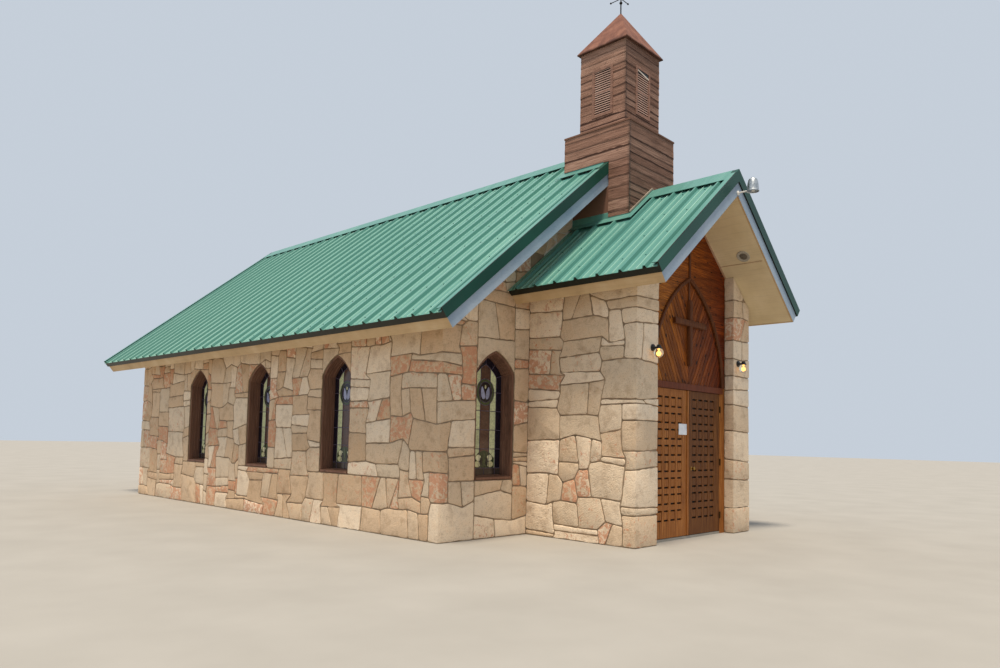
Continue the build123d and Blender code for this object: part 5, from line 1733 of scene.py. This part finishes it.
# Roofs; each steel ends with its painted shade colour and the way that the faces which take it are turned
roof_green = painted_steel("sea_green_roof_steel", ("#4D8279", "#588D84", "#67988D"), 0.36, "#41776C",
                           (0, -1, 0))
trim_green = painted_steel("dark_green_trim_steel", ("#08332B", "#0B3D33", "#114A3E"), 0.38, "#1A1E16",
                           (0, 0, -1))
# The small ribs are paler than the sheets: a painted highlight along them
rib_highlight_green = painted_steel("rib_steel_painted_highlight", ("#86B2A4", "#94BEB0", "#A2CABC"), 0.45, "#6C9E90", (0, -1, 0))
screw_steel = plain_metal("painted_screw_heads", ("#2C5E58", "#447C74"), 0.5, 0.2)
# Black enamel for the lamps, and painted shade for the strips at the rakes and in the vent
black = plain_metal("black_enamel_and_painted_shade", ("#0E0E0F", "#1A1A1B"), 0.4, 0.0)
dress(roof_green, "nave_metal_sheets", "porch_metal_sheets", "nave_ridge_cap", "porch_ridge_cap",
      "steeple_flashing")
dress(trim_green, "nave_edge_trim", "porch_edge_trim")
# The fascia's second colours are a painted sky reflection on its gable boards
dress(painted_board("fascia_paint", ("#B89A70", "#C4A67C", "#CEB48C"), ("#8194A8", "#9BAAB9")),
      "nave_fascia", "porch_fascia")
dress(painted_board("soffit_paint", ("#D2BE96", "#DAC7A0", "#E2D0AC")),
      "nave_roof_left", "nave_roof_right", "porch_roof_left", "porch_roof_right")
soffit_beads(painted_board("bead_paint", ("#A88468", "#B49074", "#BE9C82")))
nave_roof, porch_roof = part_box("nave_metal_sheets"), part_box("porch_metal_sheets")
roof_details("nave_roof", NAVE_RIDGE, NAVE_EAVE, nave_roof[0].y, nave_roof[1].y, rib_highlight_green, screw_steel)
roof_details("porch_roof", PORCH_RIDGE, PORCH_EAVE, porch_roof[0].y, FRONT, rib_highlight_green, screw_steel)
nave_trim, porch_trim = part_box("nave_edge_trim"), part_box("porch_edge_trim")
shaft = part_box("steeple_flashing")[1].x / COS
rake_laps("nave_roof", NAVE_RIDGE, NAVE_EAVE, [(nave_trim[0].y, 1, shaft), (nave_trim[1].y, -1, 0.0)],
          roof_green, black)
rake_laps("porch_roof", PORCH_RIDGE, PORCH_EAVE, [(porch_trim[0].y, 1, 0.0)], roof_green, black)

# Steeple
cedar, vent_wood = siding(), louvre_wood()
dress(cedar, "belfry", "steeple_base")
dress(vent_wood, "belfry_louvres")
dress(spire_felt(), "spire_roof")
steeple(cedar, painted_board("weathered_strip", ("#7E7264", "#968878", "#A89C8C")))
loose_slat(painted_board("bleached_slat", ("#B9ABA0", "#CFC3B8", "#DAD0C6")), black)
# The nosings' pale colour is partly a painted highlight on the slats' lit edges
vent_nosings(painted_board("slat_edge_stain_and_highlight", ("#A8887A", "#C09C8C", "#CEAC9C")))
weathervane(plain_metal("wrought_iron", ("#1B1A19", "#2C2724"), 0.6, 0.7))

# Windows
window_wood = stained_wood("brown_window_paint", ("#573D31", "#765545", "#8A6854"), 0.5)
dress(window_wood, "front_window_frames", "nave_left_window_frames", "nave_right_window_frames")
windows(window_wood, stained_glass(), plain_metal("lead_came", ("#4A4252", "#6A6073"), 0.45, 0.5))

# Doors and the timber gable over them
dress(stained_wood("stained_door_timber", ("#402008", "#965A26", "#C68848"), 0.6, DOOR_FACE + 0.004),
      "door_leaf_left", "door_jambs")
dress(stained_wood("darker_door_timber", ("#2E1607", "#643A18", "#8C5C2C"), 0.6, DOOR_FACE + 0.004),
      "door_leaf_right")
dress(stained_wood("red_stained_lintel", ("#3C1A0A", "#662E12", "#804424"), 0.55), "door_lintel")
pine = stained_pine()
dress(pine, "porch_gable_boarding", "arch_panel")
dark_oak = stained_wood("dark_stained_oak", ("#34190A", "#5A3014", "#764420"), 0.6)
porch_gable(pine, dark_oak)
hewn_cross(dark_oak)
dress(plain_metal("browned_hinge_brass", ("#3A2A18", "#5C4426"), 0.5, 1.0), "door_hinges")
door_knob(plain_metal("aged_brass", ("#8C6A32", "#B08D4C"), 0.35, 1.0))
door_notice(paper())

# Lamps and the floor
wall_lamps(black, clear_glass(), lit_bulb())
yard_light(plain_metal("galvanised_steel", ("#9BA2A6", "#C3C8CA"), 0.35, 0.9),
           plain_metal("white_lamp_enamel", ("#D9D7D0", "#E8E6E0"), 0.4, 0.0))
soffit_rings(plain_metal("grey_lamp_trim", ("#A09A8C", "#B4AEA0"), 0.45, 0.0),
             plain_metal("unlit_lens", ("#5C564C", "#746E62"), 0.3, 0.0))
dress(screed(), "floor_slab")
